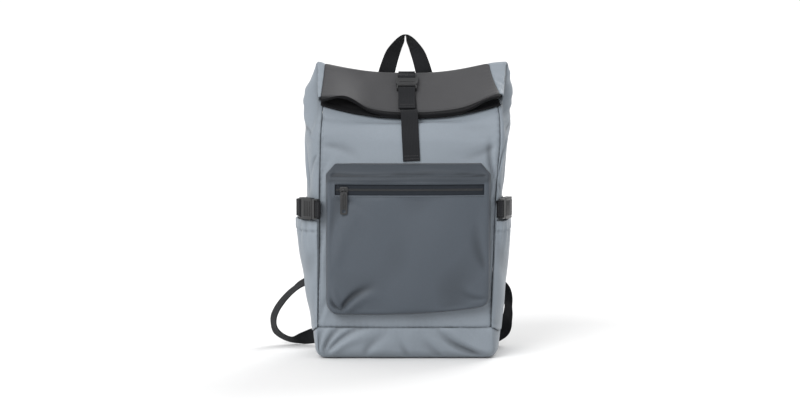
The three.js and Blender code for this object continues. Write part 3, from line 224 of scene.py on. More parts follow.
def back_profile(v):
    height = v * BACK_WALL
    upright = (HALF_DEPTH * column(WALLS, "depth", v) - base_inset(height), height)
    start = fold_point(RIDGE, LEAN_TURN)
    lean = math.tan(BACK_LEAN - PI / 2)
    corner = (HALF_DEPTH, start[1] - (HALF_DEPTH - start[0]) / lean)
    bend = bend_point((HALF_DEPTH, BACK_WALL), corner, start, clamp(v - 1))
    fold = fold_point(RIDGE, mix(LEAN_TURN, PI, v - 2))
    return choose(v, [1, 2, 3], [upright, bend, fold, flap_point(RIDGE, v)])


def profile_out(profile, side, v):
    step = 0.004
    before, after = profile(np.maximum(v - step, 0)), profile(v + step)
    dy, dz = after[0] - before[0], after[1] - before[1]
    length = np.hypot(dy, dz)
    return side * dz / length, -side * dy / length


def sag(across, y, z):
    front = ease((y - ROOF_START) / SAG_REACH)
    back = ease((z - BACK_WALL) / (FOLD_HEIGHT - BACK_WALL))
    return RIDGE_SAG * (1 - across**2) * np.where(y < FOLD_BACK, front, back)


def gape(across, v):
    reach = HALF_FRONT * across
    left = bell((reach + 0.76 * HALF_FRONT) / LIP_LIFT_WIDTH)
    right = 0.8 * bell((reach - 0.95 * HALF_FRONT) / LIP_LIFT_WIDTH)
    return LIP_LIFT * (left + right) * clamp(v - 3) ** 2


def wall_point(profile, side, across, v, lift, left, right):
    base_y, base_z = profile(v)
    out_y, out_z = profile_out(profile, side, v)
    pull = FLAP_END_RISE * across**2 * clamp(v - 3)
    y = base_y + out_y * lift + ROOF_Y * pull
    z = base_z + out_z * lift + ROOF_Z * pull
    start = -HALF_FRONT * left + base_inset(base_z)
    end = HALF_FRONT * right - base_inset(base_z)
    x = mix(start, end, (across + 1) / 2)
    return np.stack(np.broadcast_arrays(x, y, z - sag(across, y, z)), axis=-1)


def front_point(across, v, inset):
    """A place on the front cloth, at a depth under its outer face."""
    across, v = np.asarray(across, float), np.asarray(v, float)
    lift = FRONT_CROWN * column(WALLS, "front", v) * (1 - across**2) - inset
    seams = column(SEAMS, "left", v), column(SEAMS, "right", v)
    return wall_point(front_profile, LEFT, across, v, lift, *seams)


def back_point(across, v, inset):
    """A place on the back and roll-top cloth, on the same terms."""
    across, v = np.asarray(across, float), np.asarray(v, float)
    crown = BACK_CROWN * column(WALLS, "back", v) * (1 - across**2)
    lift = crown + gape(across, v) - inset
    blend = ease((v - 1.4) / 0.6)
    half = column(SEAMS, "back_half", v)
    seams = [mix(half, column(SEAMS, key, v), blend) for key in ("left", "right")]
    return wall_point(back_profile, RIGHT, across, v, lift, *seams)


def side_point(side, u, v, inset):
    """A place on a side cloth: u runs from 0 at the front seam to 1 at the back seam."""
    u, v = np.asarray(u, float), np.asarray(v, float)
    front = front_point(side * np.ones_like(v), v, 0)
    back = back_point(side * np.ones_like(v), v, 0)
    half = (back - front) / 2
    power = 2 / column(SEAMS, "corner", v)
    turn = u * PI
    across = -power_of(np.cos(turn), power)
    out = np.abs(np.sin(turn)) ** power
    key = "swell_left" if side == LEFT else "swell_right"
    swell = SIDE_BULGE * column(SEAMS, key, v)
    dent = SIDE_DENT * bell((v - 1.4) / 0.28) * bell((u - 0.3) / 0.13)
    length = np.linalg.norm(half, axis=-1)
    point = (front + back) / 2 + half * (across * (1 - inset / length))[..., None]
    point[..., 0] += side * (out * (swell - inset) - dent)
    point[..., 2] += EAR_LIFT * out * bell((v - 2.3) / 0.5)
    return point


def front_v(z):
    return z / FRONT_WALL


def back_v(z):
    return z / BACK_WALL


def side_v(u, z):
    return z / mix(FRONT_WALL, BACK_WALL, (1 - np.cos(u * PI)) / 2)


def across_of(point_at, x, v):
    left = point_at(-1, v, 0)[..., 0]
    right = point_at(1, v, 0)[..., 0]
    return 2 * (x - left) / (right - left) - 1


# Meshes


def add_object(name, mesh, material, body="root", node=None):
    obj = bpy.data.objects.new(name, mesh)
    bpy.context.scene.collection.objects.link(obj)
    mesh.materials.append(material)
    mesh.shade_smooth()
    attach(obj, body)
    if node is not None:
        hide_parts(node)
    return obj


def mesh_from(name, points, faces, uvs=None):
    """A mesh from millimetre points; uvs, in metres, go with the points."""
    mesh = bpy.data.meshes.new(name)
    mesh.from_pydata((np.asarray(points) * MM).tolist(), [], faces)
    if uvs is not None:
        layer = mesh.uv_layers.new(name="cloth")
        loops = np.zeros(len(mesh.loops), int)
        mesh.loops.foreach_get("vertex_index", loops)
        layer.data.foreach_set("uv", np.asarray(uvs, float)[loops].ravel())
    mesh.update()
    return mesh


def grid_faces(rows, columns, start=0, flip=False, wrap=False):
    faces = []
    for i in range(rows - 1):
        for j in range(columns if wrap else columns - 1):
            k = (j + 1) % columns
            face = [
                start + i * columns + j,
                start + (i + 1) * columns + j,
                start + (i + 1) * columns + k,
                start + i * columns + k,
            ]
            faces.append(face[::-1] if flip else face)
    return faces


def capped_faces(rows, columns):
    """Faces of a closed tube whose sections are the rows of a grid of points."""
    first = list(range(columns))
    last = list(range((rows - 1) * columns, rows * columns))
    return grid_faces(rows, columns, wrap=True) + [first, last[::-1]]


@contextlib.contextmanager
def reshaped(mesh):
    """The mesh as a bmesh to work on, written back at the end."""
    shape = bmesh.new()
    shape.from_mesh(mesh)
    yield shape
    shape.to_mesh(mesh)
    shape.free()


def face_out(mesh):
    with reshaped(mesh) as shell:
        bmesh.ops.recalc_face_normals(shell, faces=shell.faces)


def flat_uvs(grid):
    """Distances along the rows and columns of a grid of points, in metres."""
    across = np.linalg.norm(np.diff(grid, axis=1), axis=-1)
    along = np.linalg.norm(np.diff(grid, axis=0), axis=-1)
    u = np.concatenate([np.zeros((grid.shape[0], 1)), np.cumsum(across, axis=1)], axis=1)
    u -= u[:, grid.shape[1] // 2][:, None]
    v = np.concatenate([np.zeros((1, grid.shape[1])), np.cumsum(along, axis=0)], axis=0)
    return np.stack([u, v], axis=-1).reshape(-1, 2) * MM


def hollow_of(height):
    """How shaded a place is, from 0 to 1, by its height over the smooth cloth."""
    return clamp((-height - 0.4) / 4)


def thick_sheet(name, outer, inner, keep=None, joined=False, shade=None):
    """A sheet of cloth between two grids of points, closed round its edges or joined to itself."""
    rows, columns, _ = outer.shape
    size = rows * columns
    kept = np.ones((rows - 1, columns - 1), bool) if keep is None else keep
    quad = np.array(grid_faces(rows, columns)).reshape(rows - 1, columns - 1, 4)
    faces = [list(map(int, f)) for f in quad[kept]]
    faces += [[int(k) + size for k in f[::-1]] for f in quad[kept]]
    sides = [(0, 1, 0, -1), (1, 2, 1, 0), (2, 3, 0, 1), (3, 0, -1, 0)]
    padded = np.pad(kept, 1)
    if joined:
        padded[1:-1, 0] = kept[:, -1]
        padded[1:-1, -1] = kept[:, 0]
    for i, j in zip(*np.nonzero(kept)):
        for a, b, di, dj in sides:
            if not padded[i + 1 + di, j + 1 + dj]:
                first, second = int(quad[i, j, a]), int(quad[i, j, b])
                faces.append([second, first, first + size, second + size])
    points = np.concatenate([outer.reshape(-1, 3), inner.reshape(-1, 3)])
    uvs = flat_uvs(outer)
    mesh = mesh_from(name, points, faces, np.concatenate([uvs, uvs]))
    # Painted shade: how much each point's colour is darkened, kept on both faces for the material
    if shade is not None:
        marks = mesh.attributes.new("hollow", "FLOAT", "POINT")
        values = np.broadcast_to(shade, (rows, columns)).ravel()
        marks.data.foreach_set("value", np.tile(values, 2))
    with reshaped(mesh) as shell:
        loose = [v for v in shell.verts if not v.link_faces]
        bmesh.ops.delete(shell, geom=loose, context="VERTS")
        if joined:
            bmesh.ops.remove_doubles(shell, verts=shell.verts, dist=1e-6)
            bmesh.ops.dissolve_degenerate(shell, edges=shell.edges, dist=1e-7)
        bmesh.ops.recalc_face_normals(shell, faces=shell.faces)
    return mesh


def steps(stops, spacing):
    """Places between stops, about evenly spaced by (share of a unit) spacing."""
    places = [stops[0]]
    for low, high in zip(stops[:-1], stops[1:]):
        count = max(1, round((high - low) / spacing))
        places += list(np.linspace(low, high, count + 1)[1:])
    return np.array(places)


def ripple(x, y, seed, size):
    """Smooth seeded waves, between about -1 and 1, over millimetre places."""
    rng = np.random.default_rng(seed)
    total = 0
    for _ in range(5):
        angle, phase = rng.uniform(0, PI), rng.uniform(0, 2 * PI)
        length = size * rng.uniform(0.7, 1.5)
        wave = (x * math.cos(angle) + y * math.sin(angle)) * 2 * PI / length
        total = total + np.sin(wave + phase)
    return total / 2.5


def crease(x, y, start, end, width, depth):
    """A soft fold along a line between two places: a valley beside a low ridge."""
    dx, dy = end[0] - start[0], end[1] - start[1]
    length = math.hypot(dx, dy)
    along = ((x - start[0]) * dx + (y - start[1]) * dy) / length**2
    off = ((x - start[0]) * dy - (y - start[1]) * dx) / length
    off = off + 0.08 * length * np.sin(clamp(along) * PI)
    fade = ease((along + 0.1) / 0.35) * ease((1.25 - along) / 0.95)
    spread = width * (0.55 + 0.9 * clamp(along))
    valley = -bell(off / spread)
    ridge = 0.7 * bell((off - 2.1 * spread) / (1.5 * spread))
    return depth * fade * (valley + ridge)


def creases(x, y, folds):
    return sum(crease(x, y, *fold) for fold in folds)


def pucker(distance, along, reach=7.0, pitch=9.0, depth=0.45):
    """Cloth drawn in at a seam, with short ripples that fade away from it."""
    ripples = np.sin(2 * PI * along / pitch + 0.8 * np.sin(along / 17))
    return -1.4 * bell(distance / 2.2) + depth * ripples * np.exp(-distance / reach)


# Materials


class Look:
    """A material under construction, with short ways to add nodes to it."""

    def __init__(self, name, colour, roughness, specular=0.5, sheen=0.0):
        self.material = bpy.data.materials.new(name)
        self.material.use_nodes = True
        self.tree = self.material.node_tree
        self.shader = self.tree.nodes["Principled BSDF"]
        self.shader.inputs["Base Color"].default_value = (*colour, 1)
        self.shader.inputs["Roughness"].default_value = roughness
        self.shader.inputs["Specular IOR Level"].default_value = specular
        self.shader.inputs["Sheen Weight"].default_value = sheen
        self.shader.inputs["Sheen Roughness"].default_value = 0.4
        self.colour = colour
        self.normal = None

    def node(self, kind, settings=(), links=(), **values):
        made = self.tree.nodes.new(kind)
        for key, value in values.items():
            setattr(made, key, value)
        for key, value in dict(settings).items():
            made.inputs[key].default_value = value
        for key, source in dict(links).items():
            self.tree.links.new(source, made.inputs[key])
        return made

    def math(self, operation, first, second=0.0):
        made = self.node("ShaderNodeMath", operation=operation)
        for socket, value in zip(made.inputs, (first, second)):
            if isinstance(value, (int, float)):
                socket.default_value = value
            else:
                self.tree.links.new(value, socket)
        return made.outputs[0]

    def place(self, kind="UV"):
        return self.node("ShaderNodeTexCoord").outputs[kind]

    def noise(self, scale, detail=2.0):
        links = {"Vector": self.place("Object")}
        settings = {"Scale": scale, "Detail": detail}
        return self.node("ShaderNodeTexNoise", settings, links).outputs[0]

    def ramp(self, value, low, high, dark=0.0, light=1.0):
        settings = {"From Min": low, "From Max": high, "To Min": dark, "To Max": light}
        return self.node("ShaderNodeMapRange", settings, {"Value": value}).outputs[0]

    def tint(self, factor, other):
        """Blends another colour over what the surface has so far."""
        blend = self.node("ShaderNodeMix", data_type="RGBA")
        base = self.shader.inputs["Base Color"]
        if base.links:
            self.tree.links.new(base.links[0].from_socket, blend.inputs["A"])
        else:
            blend.inputs["A"].default_value = (*self.colour, 1)
        blend.inputs["B"].default_value = (*other, 1)
        self.tree.links.new(factor, blend.inputs["Factor"])
        self.tree.links.new(blend.outputs["Result"], base)

    def paint_shade(self, darker=0.42):
        """Painted shade: darkens the colour where the mesh marks shade, in folds and dents and
        under the flap.
        """
        marked = self.node("ShaderNodeAttribute", attribute_name="hollow")
        self.tint(marked.outputs["Fac"], scaled(self.colour, darker))

    def bump(self, height, strength, distance):
        links = {"Height": height}
        if self.normal is not None:
            links["Normal"] = self.normal
        settings = {"Strength": strength, "Distance": distance}
        self.normal = self.node("ShaderNodeBump", settings, links).outputs[0]
        self.tree.links.new(self.normal, self.shader.inputs["Normal"])

    def rough(self, value, low, high):
        self.tree.links.new(self.ramp(value, 0.3, 0.7, low, high), self.shader.inputs["Roughness"])

    def threads(self, pitch):
        """Two crossed sets of threads over the cloth's own flat places."""
        waves = []
        for place in self.flat_places():
            turn = self.math("MULTIPLY", place, 2 * PI / pitch)
            waves.append(self.math("SINE", turn))
        return self.math("MULTIPLY", *waves)

    def flat_places(self):
        split = self.node("ShaderNodeSeparateXYZ", links={"Vector": self.place()})
        return split.outputs["X"], split.outputs["Y"]


def scaled(colour, factor):
    return tuple(min(1.0, c * factor) for c in colour)


def cloth_look(name, colour, roughness=0.55, sheen=0.1, weave=0.0009):
    look = Look(name, colour, roughness, specular=0.25, sheen=sheen)
    cloud = look.noise(9, 3)
    look.tint(look.ramp(cloud, 0.35, 0.65, 0.0, 0.5), scaled(colour, 0.9))
    fleck = look.noise(900, 1)
    look.tint(look.ramp(fleck, 0.45, 0.62, 0.0, 0.35), scaled(colour, 1.18))
    threads = look.threads(weave)
    look.tint(look.ramp(threads, -1, 1, 0.22, 0.0), scaled(colour, 0.7))
    look.rough(cloud, roughness - 0.05, roughness + 0.08)
    look.bump(look.noise(55, 4), 0.22, 0.0012)
    look.bump(threads, 0.35, 0.00012)
    # Painted shade in folds, dents and under the flap, read from the mesh
    look.paint_shade()
    return look.material


def webbing_look(name, colour, pitch=0.0022):
    look = Look(name, colour, 0.7, specular=0.08, sheen=0.03)
    x, y = look.flat_places()
    across = look.math("MULTIPLY", x, 2 * PI / pitch)
    along = look.math("MULTIPLY", y, 2 * PI / (pitch * 0.6))
    shift = look.math("MULTIPLY", look.math("SINE", across), 1.4)
    zigzag = look.math("SINE", look.math("ADD", along, shift))
    ribs = look.math("ABSOLUTE", look.math("SINE", look.math("MULTIPLY", across, 0.5)))
    look.tint(look.ramp(zigzag, -1, 1, 0.0, 0.5), scaled(colour, 1.6))
    look.tint(look.ramp(ribs, 0.0, 0.35, 0.6, 0.0), scaled(colour, 0.4))
    look.bump(ribs, 0.6, 0.0004)
    look.bump(zigzag, 0.5, 0.0002)
    return look.material


def plastic_look(name, colour):
    look = Look(name, colour, 0.36, specular=0.5)
    grain = look.noise(1400, 2)
    wear = look.noise(60, 4)
    look.tint(look.ramp(wear, 0.45, 0.75, 0.0, 0.35), scaled(colour, 1.5))
    look.rough(wear, 0.3, 0.44)
    look.bump(grain, 0.12, 0.0001)
    return look.material


def net_look(name, colour, pitch=0.005):
    """Spacer net: round holes in rows, each row half a step along from the last, with painted shade
    darkening the holes.
    """
    look = Look(name, colour, 0.8, specular=0.15)
    across, along = look.flat_places()
    rate = 4 * PI / (math.sqrt(3) * pitch)
    waves = 0.0
    for turn in (0, PI / 3, 2 * PI / 3):
        x = look.math("MULTIPLY", across, rate * math.cos(turn))
        y = look.math("MULTIPLY", along, rate * math.sin(turn))
        waves = look.math("ADD", look.math("COSINE", look.math("ADD", x, y)), waves)
    holes = look.ramp(waves, 0.1, 1.3)
    look.tint(look.ramp(look.noise(700, 2), 0.4, 0.65, 0.0, 0.4), scaled(colour, 1.5))
    # Painted shade: the holes are darkened nearly to black, as the shade in their depth
    look.tint(holes, scaled(colour, 0.08))
    look.bump(look.ramp(waves, 0.1, 1.3, 1.0, 0.0), 0.9, 0.0012)
    return look.material


GREY = cloth_look("grey_cloth", (0.180, 0.206, 0.234), 0.5)
DARK = cloth_look("dark_cloth", (0.042, 0.042, 0.0445), 0.62, weave=0.0011)
POCKET = cloth_look("pocket_cloth", (0.0545, 0.0655, 0.080), 0.55)
BAND = cloth_look("band_cloth", (0.033, 0.033, 0.035), 0.75, weave=0.0012)
LINING = cloth_look("lining_cloth", (0.012, 0.012, 0.013), 0.8, sheen=0.0, weave=0.0012)
STRAP = cloth_look("strap_cloth", (0.215, 0.24, 0.268), 0.52)
NET = net_look("spacer_net", (0.028, 0.03, 0.034))
TAPE = webbing_look("zip_tape", (0.0165, 0.0195, 0.0245), 0.0016)
LIP = webbing_look("mouth_tape", (0.0065, 0.0066, 0.0075), 0.0016)
WEBBING = webbing_look("webbing", (0.0125, 0.013, 0.0145))
PLASTIC = plastic_look("plastic", (0.012, 0.0125, 0.0135))
THREAD_LIGHT = cloth_look("thread_light", (0.22, 0.25, 0.29), 0.6, weave=0.0003)
THREAD_WEB = cloth_look("thread_webbing", (0.06, 0.06, 0.063), 0.6, weave=0.0003)
THREAD_DARK = cloth_look("thread_dark", (0.03, 0.031, 0.035), 0.6, weave=0.0003)


# Sewn shell: each panel is a fine sheet, with its seams, puckers and folds worked into it

STEP = 2.6
SEAM_GAP = 0.3
EDGE = SEAM_GAP / FRONT_WIDTH
MOUTH = 4 - BINDING_WIDTH / FLAP
SEAM_V = SEAM_GAP / 2 / FLAP


def cloth_panel(
    name, rows, columns, point_at, relief, material, node, thick=CLOTH, sunk=None
):
    """A panel of cloth from point_at(row, column, inset), with relief raised on its outer face and
    painted shade in its hollows and wherever sunk(row, column) adds it.
    """
    row, place = crossed(rows, columns)
    height = relief(row, place)
    outer = point_at(row, place, -height)
    inner = point_at(row, place, thick - 0.6 * height)
    # Painted shade: darker where the relief sinks in, and wherever sunk adds shade
    shade = hollow_of(height)
    if sunk is not None:
        shade = np.maximum(shade, sunk(row, place))
    mesh = thick_sheet(name, outer, inner, shade=shade)
    add_object(name, mesh, material, node=node)


def across_places():
    return np.linspace(-1 + 2 * EDGE, 1 - 2 * EDGE, round(FRONT_WIDTH / STEP) + 1)


def up_places(low, high, length):
    return np.linspace(low, high, max(2, round(length / STEP) + 1))


# Stretches of cloth, as the landmarks where they start and end and their length
FRONT_START = (TURN_UP_FRONT + SEAM_GAP / 2) / FRONT_WALL
TOP_START, BAND_START, BAND_END = 1.504, 1.004, 1.496
FLAP_RUN = (3, MOUTH - SEAM_V, 82)
FRONT_RUN = [(FRONT_START, 1, 228), (1, 1.5, 60), (1.5, 2, 95), (2, 3, 6), FLAP_RUN]
TOP_RUN = [(TOP_START, 2, 42), (2, 3, 22), FLAP_RUN]
SIDE_WIDTH = 140
SIDE_ROUND = 60 * PI


def run_places(run):
    places = [up_places(low, high, length) for low, high, length in run]
    return np.concatenate([places[0]] + [p[1:] for p in places[1:]])


def turn_up_side(u):
    return mix(TURN_UP_FRONT, TURN_UP_SIDE, ease(3 * u))


def turn_up_back(across):
    return mix(TURN_UP_BACK, TURN_UP_SIDE, across**8)


# Folds on the front, as start, end, width and depth in millimetres in front view
FRONT_FOLDS = [
    ((-129, 112), (-118, 216), 4, 1.6),
    ((-128, 56), (-108, 104), 4, 1.6),
    ((129, 82), (119, 176), 4, 1.6),
    ((-129, 230), (-116, 306), 4, 1.6),
    ((-128, 318), (-70, 296), 7, 1.8),
    ((128, 320), (62, 298), 7, 1.8),
    ((130, 262), (117, 336), 3.5, 3.6),
    ((131, 268), (122, 218), 3, 2.4),
]
BASE_FOLDS = [
    ((-126, 6), (-88, 56), 4.5, 4.5),
    ((-124, 3), (-54, 52), 4.5, 6.0),
    ((-131, 8), (-120, 50), 3.5, 3.0),
    ((-66, 2), (-20, 44), 7, 2.4),
    ((122, 4), (40, 52), 6, 5.0),
    ((6, 2), (-10, 44), 7, 1.8),
    ((62, 0), (22, 40), 7, 2.0),
]


def from_side(across):
    """How far places across a panel are from its nearer side seam."""
    return HALF_FRONT * (1 - np.abs(across))


def front_relief(v, across):
    x = across * HALF_FRONT
    z = v * FRONT_WALL
    relief = pucker(from_side(across), z) + pucker(np.abs(z - TURN_UP_FRONT), x, depth=0.35)
    relief += creases(x, z, FRONT_FOLDS) * (v < 1.2)
    relief += 0.8 * ripple(x, z, 3, 90)
    return relief * np.where(v > 2, 0.4, 1)


def side_relief(side):
    def relief(v, u):
        z = v * FRONT_WALL
        to_seam = SIDE_ROUND * np.minimum(u, 1 - u)
        bumps = pucker(to_seam, z + 4) + 0.8 * ripple(u * SIDE_WIDTH, z, 11 + side, 55)
        bumps += creases(u * SIDE_WIDTH, z, SIDE_FOLDS[side])
        return bumps * np.where(v > 1.9, 0.5, 1)

    return relief


SIDE_FOLDS = {
    LEFT: [
        ((40, 230), (70, 310), 6, 3.0),
        ((100, 225), (85, 300), 6, 2.6),
        ((22, 335), (80, 300), 5, 3.0),
        ((8, 300), (30, 255), 4, 2.4),
        ((10, 130), (24, 60), 4, 2.0),
    ],
    RIGHT: [
        ((50, 225), (60, 305), 6, 2.8),
        ((95, 235), (110, 320), 6, 2.6),
        ((20, 318), (90, 332), 5, 3.0),
        ((6, 262), (26, 322), 3.5, 3.2),
        ((8, 250), (24, 225), 3.5, 2.4),
    ],
}


def front_panel():
    def point_at(v, across, inset):
        return front_point(across, v, inset)

    # Painted shade: a band under the flap's lip, and full shade on the cloth higher up under the
    # flap
    def sunk(v, across):
        under_flap = 0.5 * bell((v - 1.62) / 0.12) * (1 - 0.4 * across**2)
        return np.maximum(under_flap, clamp((v - 1.7) / 0.15))

    cloth_panel(
        "front_cloth", run_places(FRONT_RUN[:-1]), across_places(), point_at, front_relief,
        GREY, "front_panel", sunk=sunk,
    )
    lining = up_places(3.004, MOUTH - SEAM_V, 82)
    cloth_panel(
        "front_lining", lining, across_places(), point_at, front_relief,
        LINING, "front_panel",
    )


def side_panel(name, side):
    def point_at(row, u, inset):
        rim = side_v(u, turn_up_side(u) + SEAM_GAP / 2)
        point = side_point(side, u, np.where(row < 1, mix(rim, 1, row), row), inset)
        point[..., 0] += side * SEAM_GAP
        return point

    run = [(0, 1, 270)] + FRONT_RUN[1:]
    columns = np.linspace(0, 1, 61)

    # Painted shade: in the dent beside the front seam, and on the front part of the side cloth past
    # the fold, under the flap
    def sunk(row, u):
        dent_shade = bell((row - 1.55) / 0.3) * bell((u - 0.2) / 0.16)
        return np.maximum(0.75 * dent_shade, 0.8 * clamp((row - 3) / 0.2) * (u < 0.6))

    cloth_panel(
        f"side_cloth_{name}", run_places(run), columns, point_at, side_relief(side),
        GREY, f"side_panel_{name}", sunk=sunk,
    )


def top_relief(v, across):
    x, run = across * HALF_FRONT, v * FLAP
    to_side = from_side(across)
    bumps = 0.5 * ripple(x, run, 21, 90) + pucker(to_side, run, depth=0.4)
    bumps += 0.9 * bell((v - 3.1) / 0.16) * np.sin(x / 13 + 2 * np.sin(x / 40)) * 0.5
    return bumps * ease(to_side / 1.2)


def roll_top():
    def point_at(v, across, inset):
        return back_point(across, v, inset)

    rows = run_places(TOP_RUN)
    cloth_panel(
        "roll_top_cloth", rows, across_places(), point_at, top_relief,
        DARK, "roll_top_panel",
    )
    cloth_panel(
        "back_band_cloth", np.linspace(BAND_START, BAND_END, 14), across_places(),
        point_at, top_relief, BAND, "back_top_band",
    )


def bindings():
    """Tape folded over each lip of the mouth, round at its edges and a little wavy."""
    rows = np.linspace(MOUTH + SEAM_V, 4, 9)
    proud = (BINDING_THICK - CLOTH) / 2
    for name, surface in (("upper", back_point), ("lower", front_point)):

        def point_at(v, across, inset, surface=surface):
            return surface(across, v, inset - proud)

        def relief(v, across):
            share = (v - rows[0]) / (rows[-1] - rows[0])
            rounding = -1.1 * (1 - np.sqrt(np.clip(1 - (2 * share - 1) ** 4, 0, 1)))
            return rounding + 0.25 * ripple(across * HALF_FRONT, 0 * v, 31, 30)

        columns = np.linspace(-1 + EDGE, 1 - EDGE, 121)
        cloth_panel(
            f"mouth_tape_{name}", rows, columns, point_at, relief,
            LIP, f"mouth_binding_{name}", BINDING_THICK,
        )


SIDE_LENGTH = 150
BASE_WALL = np.linspace(1, 0, 21)
BASE_FLOOR = np.linspace(0.965, 0, 16)


def base_rim(face, at):
    if face == "front":
        return np.full_like(at, TURN_UP_FRONT - SEAM_GAP / 2)
    return (turn_up_back(at) if face == "back" else turn_up_side(at)) - SEAM_GAP / 2


def base_point(face, at, z, inset):
    """A place on one of the base's four walls, at a height."""
    if face == "front":
        return front_point(at, front_v(z), inset)
    if face == "back":
        return back_point(at, back_v(z), inset)
    side = RIGHT if face == "right" else LEFT
    return side_point(side, at, side_v(at, z), inset)


def base_strip(face, places, inset, raised):
    """One wall of the base and its share of the floor, and how shaded each place is."""
    share, at = crossed(BASE_WALL, places)
    rim = base_rim(face, at)
    x, height = at * HALF_FRONT, rim * share
    bumps = pucker(rim - height, x, depth=0.3) * (face != "back")
    if face == "front":
        bumps = bumps + creases(x, height, BASE_FOLDS)
    bumps = bumps + 0.5 * ripple(x, height, 41, 60)
    bumps = bumps * ease(height / 8) * raised
    point = base_point(face, at, height, inset - bumps)
    point[..., 2] = inset + (rim - inset) * share
    size, at = crossed(BASE_FLOOR, places)
    flat = base_point(face, at, 0 * at, inset)
    flat[..., :2] *= size[..., None]
    flat[..., 2] = inset
    return np.concatenate([point, flat]), np.concatenate([hollow_of(bumps), 0 * size])


def base_layer(strips, inset, raised):
    """The base's places and shades all round, with the first column again at the end."""
    parts = [base_strip(face, places[:-1], inset, raised) for face, places in strips]
    rings = [np.concatenate(layers, axis=1) for layers in zip(*parts)]
    return [np.concatenate([ring, ring[:, :1]], axis=1) for ring in rings]


def base():
    """The tray at the foot: its walls are turned up to the seams of the panels."""
    wide = across_places()
    deep = np.linspace(0, 1, round(SIDE_LENGTH / STEP) + 1)
    strips = [("front", wide), ("right", deep), ("back", wide[::-1]), ("left", deep[::-1])]
    outer, shade = base_layer(strips, 0, 1)
    inner, _ = base_layer(strips, CLOTH, 0.6)
    mesh = thick_sheet("base_cloth", outer, inner, joined=True, shade=shade)
    add_object("base_cloth", mesh, GREY, node="base_panel")


# Front pocket

POCKET_LEFT, POCKET_RIGHT = 10 - HALF_FRONT, HALF_FRONT - 9.5
POCKET_BOTTOM, POCKET_TOP = 68, FRONT_WALL - 32
POCKET_END_RISE = 11
POCKET_DEPTH, POCKET_CROWN, POCKET_CORNER = 17, 4, 20
POCKET_SIDE_ROUND, POCKET_SLOPE = 6, 16
ZIP_LEFT, ZIP_RIGHT = POCKET_LEFT + 14, POCKET_RIGHT - 10.5
ZIP_TOP = POCKET_TOP - 30
ZIP_BOTTOM = ZIP_TOP - 16
REST_GAP = 0.3
GUSSET = POCKET_TOP - 15
POCKET_STEP = 2.4
STRIP_SHADE = 0.62
POCKET_FOLDS = [
    ((-104, 70), (-56, 112), 4.5, 6.0),
    ((-100, 74), (-122, 110), 3.5, 5.0),
    ((116, 84), (78, 98), 4, 2.2),
    ((-117, 140), (-98, 240), 9, 3.4),
    ((119, 120), (100, 226), 8, 2.2),
    ((-96, 240), (-60, 214), 6, 1.2),
]


def corner_inset(distance, radius):
    left = clamp(radius - distance, 0, radius)
    return radius - np.sqrt(radius**2 - left**2)


def round_rise(distance, radius):
    return np.sqrt(1 - (1 - clamp(distance / radius)) ** 2)


def front_at(x, v, inset):
    return front_point(across_of(front_point, x, v), v, inset)


def pocket_point(x, z, inset):
    chamfer = 0.9 * clamp(POCKET_SLOPE - (POCKET_TOP - z), 0, POCKET_SLOPE)
    corner = np.maximum(corner_inset(z - POCKET_BOTTOM, POCKET_CORNER), chamfer)
    width = POCKET_RIGHT - POCKET_LEFT
    share = (x - POCKET_LEFT) / width
    left = round_rise(share * width, POCKET_SIDE_ROUND)
    right = round_rise((1 - share) * width, POCKET_SIDE_ROUND)
    bottom = round_rise(z - POCKET_BOTTOM, POCKET_SIDE_ROUND)
    top = clamp((POCKET_TOP - z) / POCKET_SLOPE) ** 0.8
    height = (z - POCKET_BOTTOM) / (POCKET_TOP - POCKET_BOTTOM)
    crown = POCKET_CROWN * 16 * share * (1 - share) * height * (1 - height)
    rise = left * right * bottom * top * (POCKET_DEPTH + crown)
    squeezed = mix(POCKET_LEFT + corner, POCKET_RIGHT - corner, share) + inset * (right - left)
    raised = z + inset * (top - bottom) + POCKET_END_RISE * share**3 * (1 - height) ** 2
    return front_at(squeezed, front_v(raised), -(REST_GAP + np.maximum(rise - inset, 0)))


def pocket_relief(z, x):
    inside = np.minimum(np.minimum(x - POCKET_LEFT, POCKET_RIGHT - x), z - POCKET_BOTTOM)
    bumps = 1.3 * ripple(x, z, 51, 110) + creases(x, z, POCKET_FOLDS)
    wander = GUSSET + 1.5 * np.sin(x / 31) - 2.5 * (x / POCKET_RIGHT) ** 2
    bumps += -4.2 * bell((z - wander) / 2.2) + 1.6 * bell((z - wander + 7) / 4)
    beside_zip = (x < ZIP_LEFT) | (x > ZIP_RIGHT)
    bumps += np.where(beside_zip, -0.7 * bell((z - ZIP_BOTTOM) / 1.2), 0)
    beside = np.maximum(np.maximum(ZIP_LEFT - x, x - ZIP_RIGHT), 0)
    to_zip = np.hypot(np.maximum(np.maximum(ZIP_BOTTOM - z, z - ZIP_TOP), 0), beside)
    bumps = 0.3 + (bumps - 0.3) * ease((to_zip - 0.5) / 7)
    bumps += -0.5 * bell((to_zip - 3.2) / 1.1)
    bumps += 0.25 * np.sin(x / 3.1) * np.exp(-to_zip / 6)
    return bumps * ease((inside - 2) / 10) * ease((POCKET_TOP - z) / 10)


